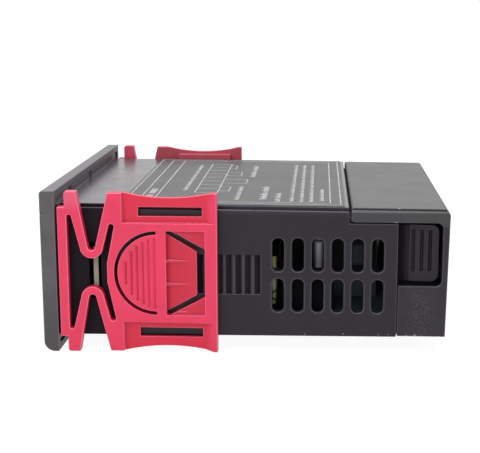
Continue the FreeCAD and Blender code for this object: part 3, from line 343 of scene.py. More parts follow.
def side_depth():
    """0 at one distance from the middle plane Y = 0, rising to 1 at another."""
    def wire(graph, place, start, end):
        offset = graph.math("ABSOLUTE", graph.add("ShaderNodeSeparateXYZ", {"Vector": place}).outputs["Y"])
        return [graph.ramp(offset, start, end)]

    return effect_group("Side Depth", {"From": 0.035, "To": 0.034}, ["Depth"], wire)


def shade(values, *factors):
    """A colour made lighter or darker, by one factor or by one for each channel."""
    return tuple(min(value * factor, 1.0) for value, factor in zip(values, factors * 3))


class Surface(Graph):
    """A new material with a principled shader, and masks with lengths in millimetres."""

    def __init__(self, name, specular):
        self.material = bpy.data.materials.new(name)
        self.material.use_nodes = True
        super().__init__(self.material.node_tree)
        self.shader = self.add("ShaderNodeBsdfPrincipled", {"Specular IOR Level": specular})
        self.add("ShaderNodeOutputMaterial", {"Surface": self.shader.outputs["BSDF"]})

    def give(self, **values):
        """Links or sets inputs of the shader, by their names in lower case."""
        for name, value in values.items():
            self.feed(self.shader.inputs[name.replace("_", " ").title()], value)

    def specks(self, scale, size, share):
        """A mask of small specks."""
        return self.group(settled_dust(), {"Scale": scale, "Size": size, "Share": share})["Specks"]

    def inside(self, x, z, fade, y=ACROSS):
        """A mask of a box between limits along each axis."""
        low, high = [Vector(corner) * MM for corner in zip(x, y, z)]
        return self.group(inside_box(), {"Low": low, "High": high, "Fade": fade * MM})["Inside"]

    def depth(self, start, end):
        """A mask that rises between two distances from the middle plane."""
        return self.group(side_depth(), {"From": start * MM, "To": end * MM})["Depth"]


class Finish(Surface):
    """A surface with fine relief, cloudy colour and cloudy gloss, whose colour can be layered.

    Relief is in millimetres, grain and clouds are noise scales, and spread is the share by which the clouds change the
    colour. Any other value goes to the shader's input of that name.
    """

    def __init__(self, name, base, roughness, relief, specular=0.5, grain=6000.0, clouds=160.0, spread=0.12, **plain):
        super().__init__(name, specular)
        fine, cloud = self.group(moulded_grain(), {"Grain Scale": grain, "Cloud Scale": clouds})
        self.tone = self.mix(cloud, shade(base, 1 - spread), shade(base, 1 + spread))
        gloss = self.ramp(cloud, 0.0, 1.0, roughness - 0.02, roughness + 0.02)
        self.give(base_color=self.tone, roughness=gloss, normal=self.bump(fine, 0.6, relief), **plain)

    def layer(self, over, *masks):
        """A colour laid over the surface where every mask is high."""
        mask = masks[0]
        for other in masks[1:]:
            mask = self.math("MULTIPLY", mask, other)
        self.tone = self.mix(mask, self.tone, over)
        self.give(base_color=self.tone)


def dark_plastic(*values):
    """A finish with the shine of the dark mouldings."""
    return Finish(*values, specular_tint=GLOSS_TINT)


# Modelling helpers

def make_active(piece):
    """Selects one object alone and makes it active."""
    bpy.ops.object.select_all(action="DESELECT")
    piece.select_set(True)
    bpy.context.view_layer.objects.active = piece


@contextlib.contextmanager
def editing(piece):
    """Edit mode on one object."""
    make_active(piece)
    bpy.ops.object.mode_set(mode="EDIT")
    yield
    bpy.ops.object.mode_set(mode="OBJECT")


@contextlib.contextmanager
def drawing(name):
    """Edit mode on a new object with an empty mesh."""
    bpy.ops.mesh.primitive_plane_add(size=1.0)
    piece = bpy.context.object
    piece.name = name
    with editing(piece):
        bpy.ops.mesh.delete(type="VERT")
        yield piece


def apply_modifier(piece, kind, **settings):
    """Adds a modifier to an object and applies it."""
    make_active(piece)
    modifier = piece.modifiers.new(kind, kind)
    for name, value in settings.items():
        setattr(modifier, name, value)
    bpy.ops.object.modifier_apply(modifier=modifier.name)


def select_faces(piece, test, narrow=False):
    """In edit mode, selects the faces whose centre and normal pass a test, of all or of the selected ones."""
    bpy.ops.mesh.select_mode(type="FACE")
    mesh = bmesh.from_edit_mesh(piece.data)
    for face in mesh.faces:
        face.select_set((face.select or not narrow) and test(face.calc_center_median(), face.normal))
    mesh.select_flush_mode()
    bmesh.update_edit_mesh(piece.data)


def paint_faces(piece, slot_index, test):
    """Gives one of the piece's materials to the faces that pass a test."""
    with editing(piece):
        select_faces(piece, test)
        piece.active_material_index = slot_index
        bpy.ops.object.material_slot_assign()


def face_outwards():
    """In edit mode, turns all faces outwards."""
    bpy.ops.mesh.select_all(action="SELECT")
    bpy.ops.mesh.normals_make_consistent(inside=False)


def even_shading(piece):
    """Smooth shading over rounds, with flat faces kept flat."""
    make_active(piece)
    bpy.ops.object.shade_smooth_by_angle(angle=SHARP)
    apply_modifier(piece, "WEIGHTED_NORMAL", keep_sharp=True)


def give_finishes(mesh, *finishes):
    """Puts the materials of some finishes in place of a mesh's own."""
    mesh.materials.clear()
    for finish in finishes:
        mesh.materials.append(finish.material)


def finish_piece(piece, body, slot, *nodes):
    """Gives a piece its body and hides the solids that it stands for. The slot is not used."""
    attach(piece, body)
    if nodes:
        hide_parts(*nodes)


def round_edges(piece, width, segments, test=None):
    """In edit mode, rounds sharp edges whose middle passes a test. The rounds get the piece's last material."""
    bpy.ops.mesh.select_mode(type="EDGE")
    bpy.ops.mesh.select_all(action="DESELECT")
    bpy.ops.mesh.edges_select_sharp(sharpness=SHARP)
    mesh = bmesh.from_edit_mesh(piece.data)
    sharp = [edge for edge in mesh.edges if edge.select]
    bpy.ops.mesh.select_all(action="DESELECT")
    for edge in sharp:
        if test is None or test((edge.verts[0].co + edge.verts[1].co) / 2):
            edge.select_set(True)
    bmesh.update_edit_mesh(piece.data)
    bpy.ops.mesh.bevel(
        offset=width, segments=segments, affect="EDGES", clamp_overlap=False, material=len(piece.data.materials) - 1
    )


def rounded_copy(node, name, width, slot, finishes, splits=(), broad=None, cutter=None):
    """A copy of a solid's mesh with a round on every sharp edge, in place of the solid.

    Its faces are split at places along X, so that each part can have its own finish. Edges that pass the test in broad
    get the width in broad. A cutter is taken out first.
    """
    source = frame["nodes"][node]
    piece = bpy.data.objects.new(name, source.data.copy())
    bpy.context.scene.collection.objects.link(piece)
    give_finishes(piece.data, *finishes)
    with editing(piece):
        bpy.ops.mesh.select_all(action="SELECT")
        bpy.ops.mesh.remove_doubles(threshold=WELD)
        bpy.ops.mesh.dissolve_limited(angle_limit=FLAT)
    if cutter:
        apply_modifier(piece, "BOOLEAN", operation="DIFFERENCE", solver="EXACT", object=cutter)
        bpy.data.objects.remove(cutter)
    with editing(piece):
        if broad:
            round_edges(piece, broad[1], 3, broad[0])
        round_edges(piece, width, 2)
        for place in splits:
            bpy.ops.mesh.select_all(action="SELECT")
            bpy.ops.mesh.bisect(plane_co=(place * MM, 0.0, 0.0), plane_no=(1.0, 0.0, 0.0))
    finish_piece(piece, source["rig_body"], slot, node)
    even_shading(piece)
    return piece


def within(place, box):
    """Whether a place, mirrored to positive Y, lies in a box."""
    mirrored = (place.x / MM, abs(place.y) / MM, place.z / MM)
    return all(low < value < high for low, value, high in zip(box[0], mirrored, box[1]))


# Pieces

class CONTROLLER_OT_case(Operator):
    """Case with rounded edges, in dark grained plastic with a polished lid painted lighter, painted shade in its
    recesses and painted highlights on its rounds
    """

    bl_idname = "controller.case"
    bl_label = "Case"

    def execute(self, context):
        settings = context.scene.controller_mouldings
        base = settings.case_colour
        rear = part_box("case_shell")[1].x / MM
        plastic = dark_plastic("Housing plastic", base, 0.42, 0.03, 0.37)
        teeth = plastic.inside(TEETH_X, TEETH_Z, 0.05)
        # The crests of the ratchet are painted lighter: partly wear, partly a painted highlight.
        plastic.layer(settings.crest_wear_and_highlight_colour, plastic.depth(*TEETH_CRESTS), teeth)
        plastic.layer(settings.dust_colour, plastic.specks(900.0, 0.14, 0.02))
        lower_edge = plastic.inside((40.0, rear), (-14.0, -12.7), 0.5)
        bruises = plastic.specks(1500.0, 0.3, 0.2)
        plastic.layer(settings.scuff_colour, bruises, lower_edge, plastic.depth(*WALL_SKIN))
        # Painted highlight along the rounded upper edge of the side walls.
        shoulder_highlight = plastic.inside((FRONT_END, 62.0), (11.9, 14.5), 1.4)
        plastic.layer(shade(base, 3.0), shoulder_highlight)
        # The lid's polished plastic, painted lighter than the case as a highlight on top.
        lid = Finish("Polished lid with painted highlight", settings.lid_highlight_colour, 0.24, 0.0008, 0.68, spread=0.03)
        # Painted highlight: a pool of light on the near side of the lid, by the bezel.
        near_corner_highlight = lid.inside((0.0, 20.0), (10.0, 20.0), 12.0, y=(-60.0, -30.0))
        lid.layer((0.15, 0.14, 0.15), near_corner_highlight)
        # Darker, less glossy copies of the plastic as painted shade: full shade in the front zone, on the ratchet's
        # slopes and at the fingers' roots, half shade where a finger bends out of it and deep in its grooves.
        shaded_dull = dark_plastic("Dull housing plastic", shade(base, 0.6), 0.6, 0.03, 0.16)
        half_shaded = dark_plastic("Half dull housing plastic", shade(base, 0.7), 0.5, 0.03, 0.22)
        # The rounds, the vents' rims among them, get a lighter colour as a painted highlight, with scuff specks.
        edge = dark_plastic("Housing plastic edges", settings.edge_highlight_colour, 0.42, 0.01, 0.4)
        edge.layer(settings.scuff_colour, edge.specks(1600.0, 0.3, 0.02))
        piece = rounded_copy(
            "case_shell", "case_moulding", settings.case_round, "case_plastic",
            (plastic, lid, shaded_dull, half_shaded, edge), splits=(FRONT_END, *BEND_X),
            broad=(lambda place: within(place, VENT_RIMS), settings.vent_round), cutter=vent_cutter(),
        )
        paint_faces(piece, 1, lambda c, n: n.z > 0.95 and within(c, LID))
        # Painted shade in the recesses; groove walls back to plain plastic; half painted shade at the bends.
        paint_faces(piece, 2, in_recess)
        paint_faces(piece, 0, lambda c, n: in_groove(c, 0.55) and abs(n.y) < 0.99)
        paint_faces(piece, 3, at_finger_bend)
        # A rib that blocks the view through the gap, so that it shows shade.
        add_ribs(piece, *GAP_RIB)
        return {"FINISHED"}


def vent_cutter():
    """Bars with round ends through the vents of both side walls, as one object."""
    width, height, depth = Vector((*VENT_SIZE, VENT_DEPTH[1] - VENT_DEPTH[0])) * MM
    columns = [VENT_FIRST + column * VENT_PITCH for column in range(VENT_COLUMNS)]
    with drawing("vent_cutter") as piece:
        for x, z, side in itertools.product(columns, VENT_ROWS, (-1, 1)):
            middle = Vector((x, side * VENT_DEPTH[0], z)) * MM
            bpy.ops.mesh.primitive_plane_add(size=1.0, location=middle, rotation=(math.pi / 2, 0.0, 0.0))
            bpy.ops.transform.resize(value=(width, 1.0, height), center_override=middle)
            bpy.ops.mesh.bevel(offset=VENT_END * MM, segments=8, affect="VERTICES", clamp_overlap=True)
            bpy.ops.mesh.extrude_region_move(TRANSFORM_OT_translate={"value": (0.0, side * depth, 0.0)})
        face_outwards()
    return piece


def in_recess(centre, normal):
    """Whether a face lies in the case's front zone, between the ratchet's crests or at a finger's root, where the case
    is painted in shade.
    """
    front = within(centre, FRONT_ZONE) and abs(normal.y) > 0.5
    slope = within(centre, TEETH_SLOPES) and abs(normal.x) > 0.1
    return front or slope or within(centre, FINGER_ROOT)


def at_finger_bend(centre, normal):
    """Whether a face lies where a finger bends out of the shade, or deep in its grooves."""
    return within(centre, FINGER_BEND) or in_groove(centre, 0.3) and abs(centre.y) < GROOVE_FLOOR * MM


def in_groove(centre, reach):
    """Whether a face lies within reach of the middle of a finger's groove."""
    return within(centre, FINGER_FACE) and min(abs(centre.x / MM - groove) for groove in GROOVES) < reach


def add_ribs(piece, place, size):
    """Adds a rib to a moulding, alike on both sides."""
    with editing(piece):
        for side in (-1, 1):
            middle = Vector((place[0], side * place[1], place[2])) * MM
            bpy.ops.mesh.primitive_cube_add(size=MM, location=middle)
            bpy.ops.transform.resize(value=size, center_override=middle)
            bpy.ops.mesh.bevel(offset=RIB_ROUND * MM, segments=2, affect="EDGES")


class CONTROLLER_OT_bezel(Operator):
    """Front frame with rounded edges, in mid grey plastic, darker towards the bottom as painted shade, with painted
    highlights on its top faces and rounds
    """

    bl_idname = "controller.bezel"
    bl_label = "Bezel"

    def execute(self, context):
        settings = context.scene.controller_mouldings
        base = settings.bezel_colour
        plastic = dark_plastic("Bezel plastic", base, 0.48, 0.025, 0.4)
        # Painted shade: darker towards the bottom.
        lower_half_shade = plastic.inside((-20.0, 20.0), (-60.0, 4.0), 18.0)
        plastic.layer(shade(base, 0.7), lower_half_shade)
        plastic.layer(settings.scuff_colour, plastic.specks(420.0, 0.1, 0.008))
        # Lighter copies of the plastic as painted highlights: on the upward faces and on the rounds.
        top = Finish("Bezel top highlight", shade(base, 1.6), 0.48, 0.02, 0.45)
        edge = Finish("Bezel plastic edge highlights", shade(base, 1.5), 0.42, 0.01, 0.4)
        piece = rounded_copy(
            "front_bezel", "bezel_moulding", settings.bezel_round, "bezel_plastic", (plastic, top, edge),
            broad=(at_bezel_front, settings.front_round),
        )
        paint_faces(piece, 1, lambda c, n: n.z > 0.9)
        return {"FINISHED"}


def at_bezel_front(place):
    """Whether a place lies on the outer edge of the bezel's front."""
    low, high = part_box("front_bezel")
    reach = 0.3 * MM
    outer = abs(place.y) > high.y - reach or abs(place.z) > high.z - reach
    return outer and place.x < low.x + reach


class CONTROLLER_OT_cover(Operator):
    """Rear cover with rounded edges, dust on its lower side walls and bruises along its lower edge; its hood band, top
    and rounds are painted lighter as highlights
    """

    bl_idname = "controller.cover"
    bl_label = "Rear cover"

    def execute(self, context):
        settings = context.scene.controller_mouldings
        low, high = [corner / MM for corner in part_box("terminal_cover")]
        plastic = dark_plastic("Cover plastic", settings.cover_colour, 0.46, 0.03, 0.42)
        lower_wall = plastic.inside((72.0, 80.0), (low.z - 5.0, -2.5), 3.0)
        plastic.layer(settings.dust_colour, plastic.specks(4300.0, 0.45, 0.45), lower_wall)
        # Painted highlight: the hood band of the upper side walls is lighter.
        hood = plastic.inside((low.x - 5.0, high.x + 5.0), (9.6, 20.0), 1.0)
        plastic.layer(settings.hood_highlight_colour, hood)
        lower_edge = plastic.inside((low.x, high.x + 5.0), (low.z - 1.0, low.z + 0.6), 0.4)
        plastic.layer(settings.scuff_colour, plastic.specks(1300.0, 0.42, 0.4), lower_edge)
        # Lighter copies of the plastic as painted highlights on the top and the rounds; the rounds also get scuffs.
        top = Finish("Cover top highlight", settings.cover_top_highlight_colour, 0.42, 0.008, 0.6, spread=0.03)
        edge = Finish("Cover plastic edge highlights", settings.edge_highlight_colour, 0.42, 0.01, 0.5)
        edge.layer(settings.scuff_colour, edge.specks(1600.0, 0.35, 0.04))
        piece = rounded_copy(
            "terminal_cover", "cover_moulding", settings.cover_round, "cover_plastic", (plastic, top, edge)
        )
        paint_faces(piece, 1, lambda c, n: n.z > 0.95 and c.z > 13.0 * MM)
        # A rib that blocks the view out through the cable exit, so that the gap beside the finger shows shade.
        add_ribs(piece, *EXIT_RIB)
        return {"FINISHED"}


class CONTROLLER_OT_clips(Operator):
    """Both mounting clips, with painted highlights on the rounds along their edges and on their ears, and painted
    shade in their recesses, pad grooves and backs
    """

    bl_idname = "controller.clips"
    bl_label = "Mounting clips"

    def execute(self, context):
        settings = context.scene.controller_mouldings
        base = settings.clip_colour
        plastic = Finish("Clip plastic", base, 0.42, 0.012, 0.4, clouds=220.0, spread=0.05)
        # Painted shade: darker, deeper red in the recesses below the outer face.
        recess = plastic.depth(CLIP_FACE - 0.2, CLIP_FACE - 1.0)
        plastic.layer(shade(base, 0.9, 0.45, 0.55), recess)
        # More painted shade on the floor of the flap's window.
        window = plastic.inside((23.0, 31.4), (-9.1, 9.1), 0.2)
        plastic.layer(shade(base, 0.76, 0.4, 0.45), plastic.depth(CLIP_FACE - 0.2, CLIP_FACE - 0.8), window)
        # Painted shade in the thumb pad's grooves, fading out towards the pad's straight edge.
        pad = plastic.inside((PAD_X - PAD_RADIUS, PAD_X + 0.1), (-PAD_RADIUS, PAD_RADIUS), 0.1)
        groove_shade_fade = plastic.inside((PAD_X - 20.0, PAD_X + 1.5), (-20.0, 20.0), 7.0)
        groove = plastic.depth(CLIP_FACE, CLIP_FACE - 0.45)
        plastic.layer(shade(base, 0.7, 0.5, 0.6), groove, pad, groove_shade_fade)
        # Painted shade on the backs of the clips.
        back = plastic.depth(CLIP_FACE - 1.8, CLIP_FACE - 2.0)
        plastic.layer(settings.clip_back_shade_colour, back)
        # Painted highlight: lighter pink on the ears.
        ear = plastic.inside((0.0, 7.0), (12.5, 30.0), 3.0)
        plastic.layer(shade(base, 1.0, 2.6, 1.7), ear)
        # Lighter copy of the plastic on the rounds as a painted highlight.
        edge = Finish("Clip plastic edge highlights", shade(base, 1.2, 5.0, 3.0), 0.38, 0.01, 0.5, spread=0.05)
        rim, deep = (CLIP_FACE - 0.14) * MM, (CLIP_FACE - 1.2) * MM
        for side in ("left", "right"):
            piece = rounded_copy(
                "mounting_clip_" + side, "clip_moulding_" + side, settings.clip_round, "clip_plastic", (plastic, edge)
            )
            # Tilted faces of the rounds near the outer face get the painted highlight; deep faces and the pad's ribs
            # go back to plain plastic.
            paint_faces(piece, 1, lambda c, n: abs(c.y) > rim and 0.3 < abs(n.y) < 0.9)
            paint_faces(piece, 0, lambda c, n: abs(c.y) < deep or on_pad(c))
        return {"FINISHED"}


def on_pad(centre):
    """Whether a face lies among the ribs of a clip's thumb pad."""
    x, z = centre.x / MM - PAD_X, centre.z / MM
    return x < 0.1 and math.hypot(x, z) < PAD_RADIUS


class CONTROLLER_OT_keys(Operator):
    """Four keys with raised signs and painted highlights on their rounds"""

    bl_idname = "controller.keys"
    bl_label = "Keys"

    def execute(self, context):
        settings = context.scene.controller_front
        rounds = context.scene.controller_mouldings.small_round
        base = settings.key_colour
        plastic = Finish("Key plastic", base, 0.45, 0.015, 0.4)
        # Lighter copy of the plastic on the rounds as a painted highlight.
        edge = Finish("Key plastic edge highlights", shade(base, 1.3), 0.4, 0.008, 0.4)
        ink = Finish("Key sign ink", settings.sign_colour, 0.5, 0.006, spread=0.04)
        for name in KEYS:
            rounded_copy("key_" + name, "key_cap_" + name, rounds, "key_plastic", (plastic, edge))
            low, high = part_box("key_" + name)
            middle = Vector((low.x, (low.y + high.y) / 2, (low.z + high.z) / 2))
            sign = key_sign(name, middle, settings.sign_rise)
            give_finishes(sign.data, ink)
            finish_piece(sign, name + "_button", "segment_lens")
        return {"FINISHED"}


def add_bars(rectangles):
    """In edit mode, adds rectangles in the plane Z = 0, each with a middle and a size in millimetres."""
    for (x, y), (width, height) in rectangles:
        middle = (x * MM, y * MM, 0.0)
        bpy.ops.mesh.primitive_plane_add(size=1.0, location=middle)
        bpy.ops.transform.resize(value=(width * MM, height * MM, 1.0), center_override=middle)


def key_sign(name, middle, rise):
    """The sign of one key: an arrow, an open ring with a bar, or three bars. It is drawn flat, then stood up."""
    with drawing("key_sign_" + name) as piece:
        if name == "menu":
            add_bars([((0.0, step), (2.9, 0.44)) for step in (-0.95, 0.0, 0.95)])
        elif name == "power":
            add_bars([((0.0, 0.95), (0.42, 1.5))])
            bpy.ops.mesh.primitive_circle_add(vertices=40, radius=RING_RADIUS * MM, fill_type="NOTHING")
            bpy.ops.mesh.extrude_region_move()
            bpy.ops.transform.resize(value=(RING_HOLE, RING_HOLE, 1.0), center_override=(0.0, 0.0, 0.0))
            inner = RING_RADIUS * RING_HOLE * MM
            select_faces(piece, lambda c, n: c.y > inner and abs(c.x) < RING_GAP * MM)
            bpy.ops.mesh.delete(type="FACE")
        else:
            turn = (0.0, 0.0, math.pi if name == "down" else 0.0)
            bpy.ops.mesh.primitive_circle_add(vertices=3, radius=ARROW_RADIUS * MM, fill_type="NGON", rotation=turn)
    apply_modifier(piece, "SOLIDIFY", thickness=rise * 2, offset=0.0)
    upright = Matrix(((0, 0, -1), (-1, 0, 0), (0, 1, 0))).to_4x4()
    piece.data.transform(Matrix.Translation(middle) @ upright)
    with editing(piece):
        face_outwards()
    even_shading(piece)
    return piece


class CONTROLLER_OT_window(Operator):
    """Smoked window with a soft edge"""

    bl_idname = "controller.window"
    bl_label = "Window"

    def execute(self, context):
        settings = context.scene.controller_front
        rounds = context.scene.controller_mouldings.small_round
        lens = Finish("Smoked lens", settings.lens_colour, 0.05, 0.0001, 0.0, 900.0, 40.0, 0.04, alpha=0.4)
        rounded_copy("display_window", "window_lens", rounds, "window_lens", (lens,))
        return {"FINISHED"}


class CONTROLLER_OT_label(Operator):
    """Label sheet and its print as plain bars and lines"""

    bl_idname = "controller.label"
    bl_label = "Label"

    def execute(self, context):
        settings = context.scene.controller_label
        sheet = Finish("Label sheet", settings.sheet_colour, 0.42, 0.006, 0.4, grain=3000.0, clouds=90.0, spread=0.08)
        give_finishes(frame["nodes"]["rating_label"].data, sheet)
        ink = Finish("Label ink", settings.print_colour, 0.5, 0.004, grain=2500.0, clouds=900.0, spread=0.2)
        width = settings.line_width / MM
        bars = [(LABEL_RULE[0], (width, LABEL_RULE[1]))]
        for x, y in LABEL_FRAMES:
            bars += frame_lines(x, y, width)
        bars += wiring_sketch(width)
        bars += [((TITLE_X, TITLE_START + TITLE_PITCH * cell), TITLE_BLOCK) for cell in (0, 1, 2, 3, 5, 6, 7, 8)]
        with drawing("label_print") as piece:
            add_bars(bars)
            for row in PRINT_ROWS:
                print_field(piece, *row)
        for vertex in piece.data.vertices:
            vertex.co.z = label_height(vertex.co.x)
        apply_modifier(piece, "SOLIDIFY", thickness=settings.print_rise * 2, offset=0.0)
        give_finishes(piece.data, ink)
        finish_piece(piece, "housing", "label_sheet")
        return {"FINISHED"}


def label_height(x):
    """Height of the label's upper face at x: it slopes with the lid."""
    points = [vertex.co for vertex in frame["nodes"]["rating_label"].data.vertices]
    front, rear = [corner.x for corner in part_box("rating_label")]
    front_z, rear_z = [max(point.z for point in points if abs(point.x - end) < WELD) for end in (front, rear)]
    return front_z + (rear_z - front_z) * (x - front) / (rear - front)


def frame_lines(x, y, width):
    """Four thin bars round a rectangle."""
    length_x, length_y = x[1] - x[0] + width, y[1] - y[0] + width
    sides = [((sum(x) / 2, place), (length_x, width)) for place in y]
    return sides + [((place, sum(y) / 2), (width, length_y)) for place in x]


def wiring_sketch(width):
    """Bars of a plain wiring sketch: a row of boxes, with a line from each, joined in pairs."""
    x, y = (27.2, 32.2), (-19.0, 24.5)
    reaches = (2.4, 5.6, 3.6, 1.6)  # of each pair of lines
    boxes = 2 * len(reaches)
    pitch = (y[1] - y[0]) / boxes
    bars = frame_lines(x, y, width)
    bars += [((sum(x) / 2, y[0] + wall * pitch), (x[1] - x[0], width)) for wall in range(1, boxes)]
    for pair, reach in enumerate(reaches):
        first = y[0] + (2 * pair + 0.5) * pitch
        bars += [((x[1] + reach / 2, line), (reach, width)) for line in (first, first + pitch)]
        bars.append(((x[1] + reach, first + pitch / 2), (width, pitch)))
    return bars


def print_field(piece, x, y, height, words):
    """In edit mode, adds plain blocks along Y, in groups, in place of a line of print."""
    start, end = y
    count = round((end - start) / (height * MARK_PITCH))
    pitch = (end - start) / count
    middle = (x * MM, (start + end) / 2 * MM, 0.0)
    bpy.ops.mesh.primitive_grid_add(x_subdivisions=3, y_subdivisions=3 * count, size=1.0, location=middle)
    bpy.ops.transform.resize(value=(height * MM, (end - start) * MM, 1.0), center_override=middle)
    spaces = {int(sum(words[:number]) / sum(words) * count) for number in range(1, len(words))}

    def is_gap(centre, normal):
        block, along = divmod((centre.y / MM - start) / pitch, 1.0)
        low_block = centre.x / MM < x - height / 6 and block % 3 > 0
        return block in spaces or along > MARK_WIDTH or low_block

    select_faces(piece, is_gap, narrow=True)
    bpy.ops.mesh.delete(type="FACE")


class CONTROLLER_OT_capacitors(Operator):
    """Round cans with a sleeve, a rolled rim and a bare top; a pale band on the sleeve is partly a polarity mark and
    partly a painted highlight, and the light top is partly a painted glint
    """

    bl_idname = "controller.capacitors"
    bl_label = "Capacitors"

    def execute(self, context):
        sleeve = Finish("Capacitor sleeve", (0.010, 0.010, 0.012), 0.3, 0.004, 0.3, spread=0.06)
        low, high = [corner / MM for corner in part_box("filter_capacitor")]
        middle = (low.x + high.x) / 2
        # A pale band on the sleeve facing the vents: partly a polarity mark, partly a painted highlight, fading at its
        # top and bottom.
        stripe_highlight = sleeve.inside((middle - 1.0, middle + 1.0), (-0.9, high.z - 0.5), 0.95, y=(low.y - 1.5, low.y + 2.0))
        sleeve.layer((0.62, 0.62, 0.64), stripe_highlight)
        # The rim and top are bare aluminium, made light and mostly not metallic so that they show a painted glint.
        bare = Finish("Bare aluminium with painted glint", (0.88, 0.88, 0.89), 0.3, 0.006, clouds=600.0, spread=0.06, metallic=0.25)
        for node in ("filter_capacitor", "smoothing_capacitor"):
            piece = round_can(node)
            give_finishes(piece.data, sleeve, bare)
            finish_piece(piece, "housing", "capacitor_can", node)
            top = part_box(node)[1].z - CAN_RIM * MM
            paint_faces(piece, 1, lambda c, n: c.z > top and n.z > 0.1)
            even_shading(piece)
        return {"FINISHED"}


def round_can(node):
    """A cylinder that fills a solid's box, with a rolled rim round a sunk top."""
    low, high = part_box(node)
    with drawing(node + "_can") as piece:
        bpy.ops.mesh.primitive_cylinder_add(
            vertices=48, radius=(high.x - low.x) / 2, depth=high.z - low.z, location=(low + high) / 2
        )
        select_faces(piece, lambda c, n: n.z > 0.9)
        bpy.ops.mesh.inset(thickness=CAN_RIM * MM)
        bpy.ops.transform.translate(value=(0.0, 0.0, -CAN_SINK * MM))
        round_edges(piece, CAN_ROUND * MM, 4)
    return piece


class CONTROLLER_OT_winding(Operator):
    """Film tape round the winding, with a painted highlight near its rear corner, painted shade round that corner, and
    dark leads across it
    """

    bl_idname = "controller.winding"
    bl_label = "Winding"

    def execute(self, context):
        settings = context.scene.controller_mouldings
        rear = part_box("transformer_tape")[1].x / MM
        tape = Finish("Yellow film tape", (0.30, 0.33, 0.05), 0.2, 0.02, grain=1500.0, clouds=420.0, spread=0.25)
        # Painted highlight along the tape near its rear corner.
        sheen_highlight = tape.inside((rear - 1.5, rear - 0.45), (-20.0, 20.0), 0.4)
        tape.layer((0.92, 0.95, 0.52), sheen_highlight)
        # Painted shade where the tape turns round its rear corner.
        corner = tape.inside((rear - 0.7, rear + 5.0), (-20.0, 20.0), 0.4)
        tape.layer((0.03, 0.033, 0.006), corner)
        rounded_copy(
            "transformer_tape", "tape_wrap", settings.small_round, "winding_tape", (tape,),
            broad=(at_tape_corner, settings.tape_round),
        )
        leads = bent_leads()
        give_finishes(leads.data, Finish("Lead sleeve", (0.008, 0.009, 0.005), 0.5, 0.004))
        finish_piece(leads, "housing", "winding_tape")
        even_shading(leads)
        return {"FINISHED"}


def at_tape_corner(place):
    """Whether a place lies on an upright outer corner of the tape, at half its height."""
    low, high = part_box("transformer_tape")
    offset, half = place - (low + high) / 2, (high - low) / 2
    reach = 0.1 * MM
    return abs(offset.z) < reach and all(abs(offset[axis]) > half[axis] - reach for axis in (0, 1))


def bent_leads():
    """Bent leads across the near face of the tape, as one object."""
    low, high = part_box("transformer_tape")
    radius = LEAD_RADIUS * MM
    with drawing("winding_leads") as piece:
        for drop, degrees in LEADS:
            turn = math.radians(degrees)
            middle = Vector((high.x - LEAD_SETBACK * MM, low.y - radius, high.z - drop * MM))
            centre = middle + Matrix.Rotation(turn, 3, "Y") @ Vector((0.0, 0.0, LEAD_SWEEP * MM))
            start = centre + Matrix.Rotation(LEAD_ARC / 2, 3, "Y") @ (middle - centre)
            bpy.ops.mesh.primitive_circle_add(
                vertices=10, radius=radius, fill_type="NGON", location=start,
                rotation=(0.0, math.pi / 2 + turn + LEAD_ARC / 2, 0.0),
            )
            bpy.ops.mesh.spin(steps=8, angle=LEAD_ARC, center=centre, axis=(0.0, 1.0, 0.0))
        bpy.ops.mesh.select_all(action="SELECT")
        bpy.ops.mesh.remove_doubles(threshold=WELD)
        face_outwards()
    return piece


class CONTROLLER_OT_insides(Operator):
    """Finishes of the boards and parts inside the case"""

    bl_idname = "controller.insides"
    bl_label = "Insides"

    def execute(self, context):
        for node, finish in inside_finishes().items():
            give_finishes(frame["nodes"][node].data, finish)
        return {"FINISHED"}


def board_finish(name, axis):
    """A circuit board: lacquer on its two faces, darkened as painted shade and paler at the rear as painted light, and
    bare laminate on its edges.
    """
    board = Surface(name, 0.1)
    fine, cloud = board.group(moulded_grain(), {"Grain Scale": 5000.0, "Cloud Scale": 300.0})
    normal = board.add("ShaderNodeSeparateXYZ", {"Vector": board.add("ShaderNodeNewGeometry").outputs["Normal"]})
    face = board.ramp(board.math("ABSOLUTE", normal.outputs[axis]), 0.4, 0.6)
    laminate = board.mix(fine, (0.16, 0.14, 0.11), (0.38, 0.34, 0.29))
    # Dark lacquer as painted shade inside the case, paler at the rear as painted light where it shows through the
    # vents.
    shaded_lacquer = board.mix(cloud, (0.003, 0.006, 0.005), (0.006, 0.010, 0.008))
    rear = board.inside((56.0, 90.0), (-20.0, 20.0), 3.0)
    lacquer = board.mix(rear, shaded_lacquer, (0.060, 0.085, 0.080))
    gloss = board.ramp(face, 0.0, 1.0, 0.85, 0.6)
    board.give(base_color=board.mix(face, laminate, lacquer), roughness=gloss, normal=board.bump(fine, 0.7, 0.04))
    return board


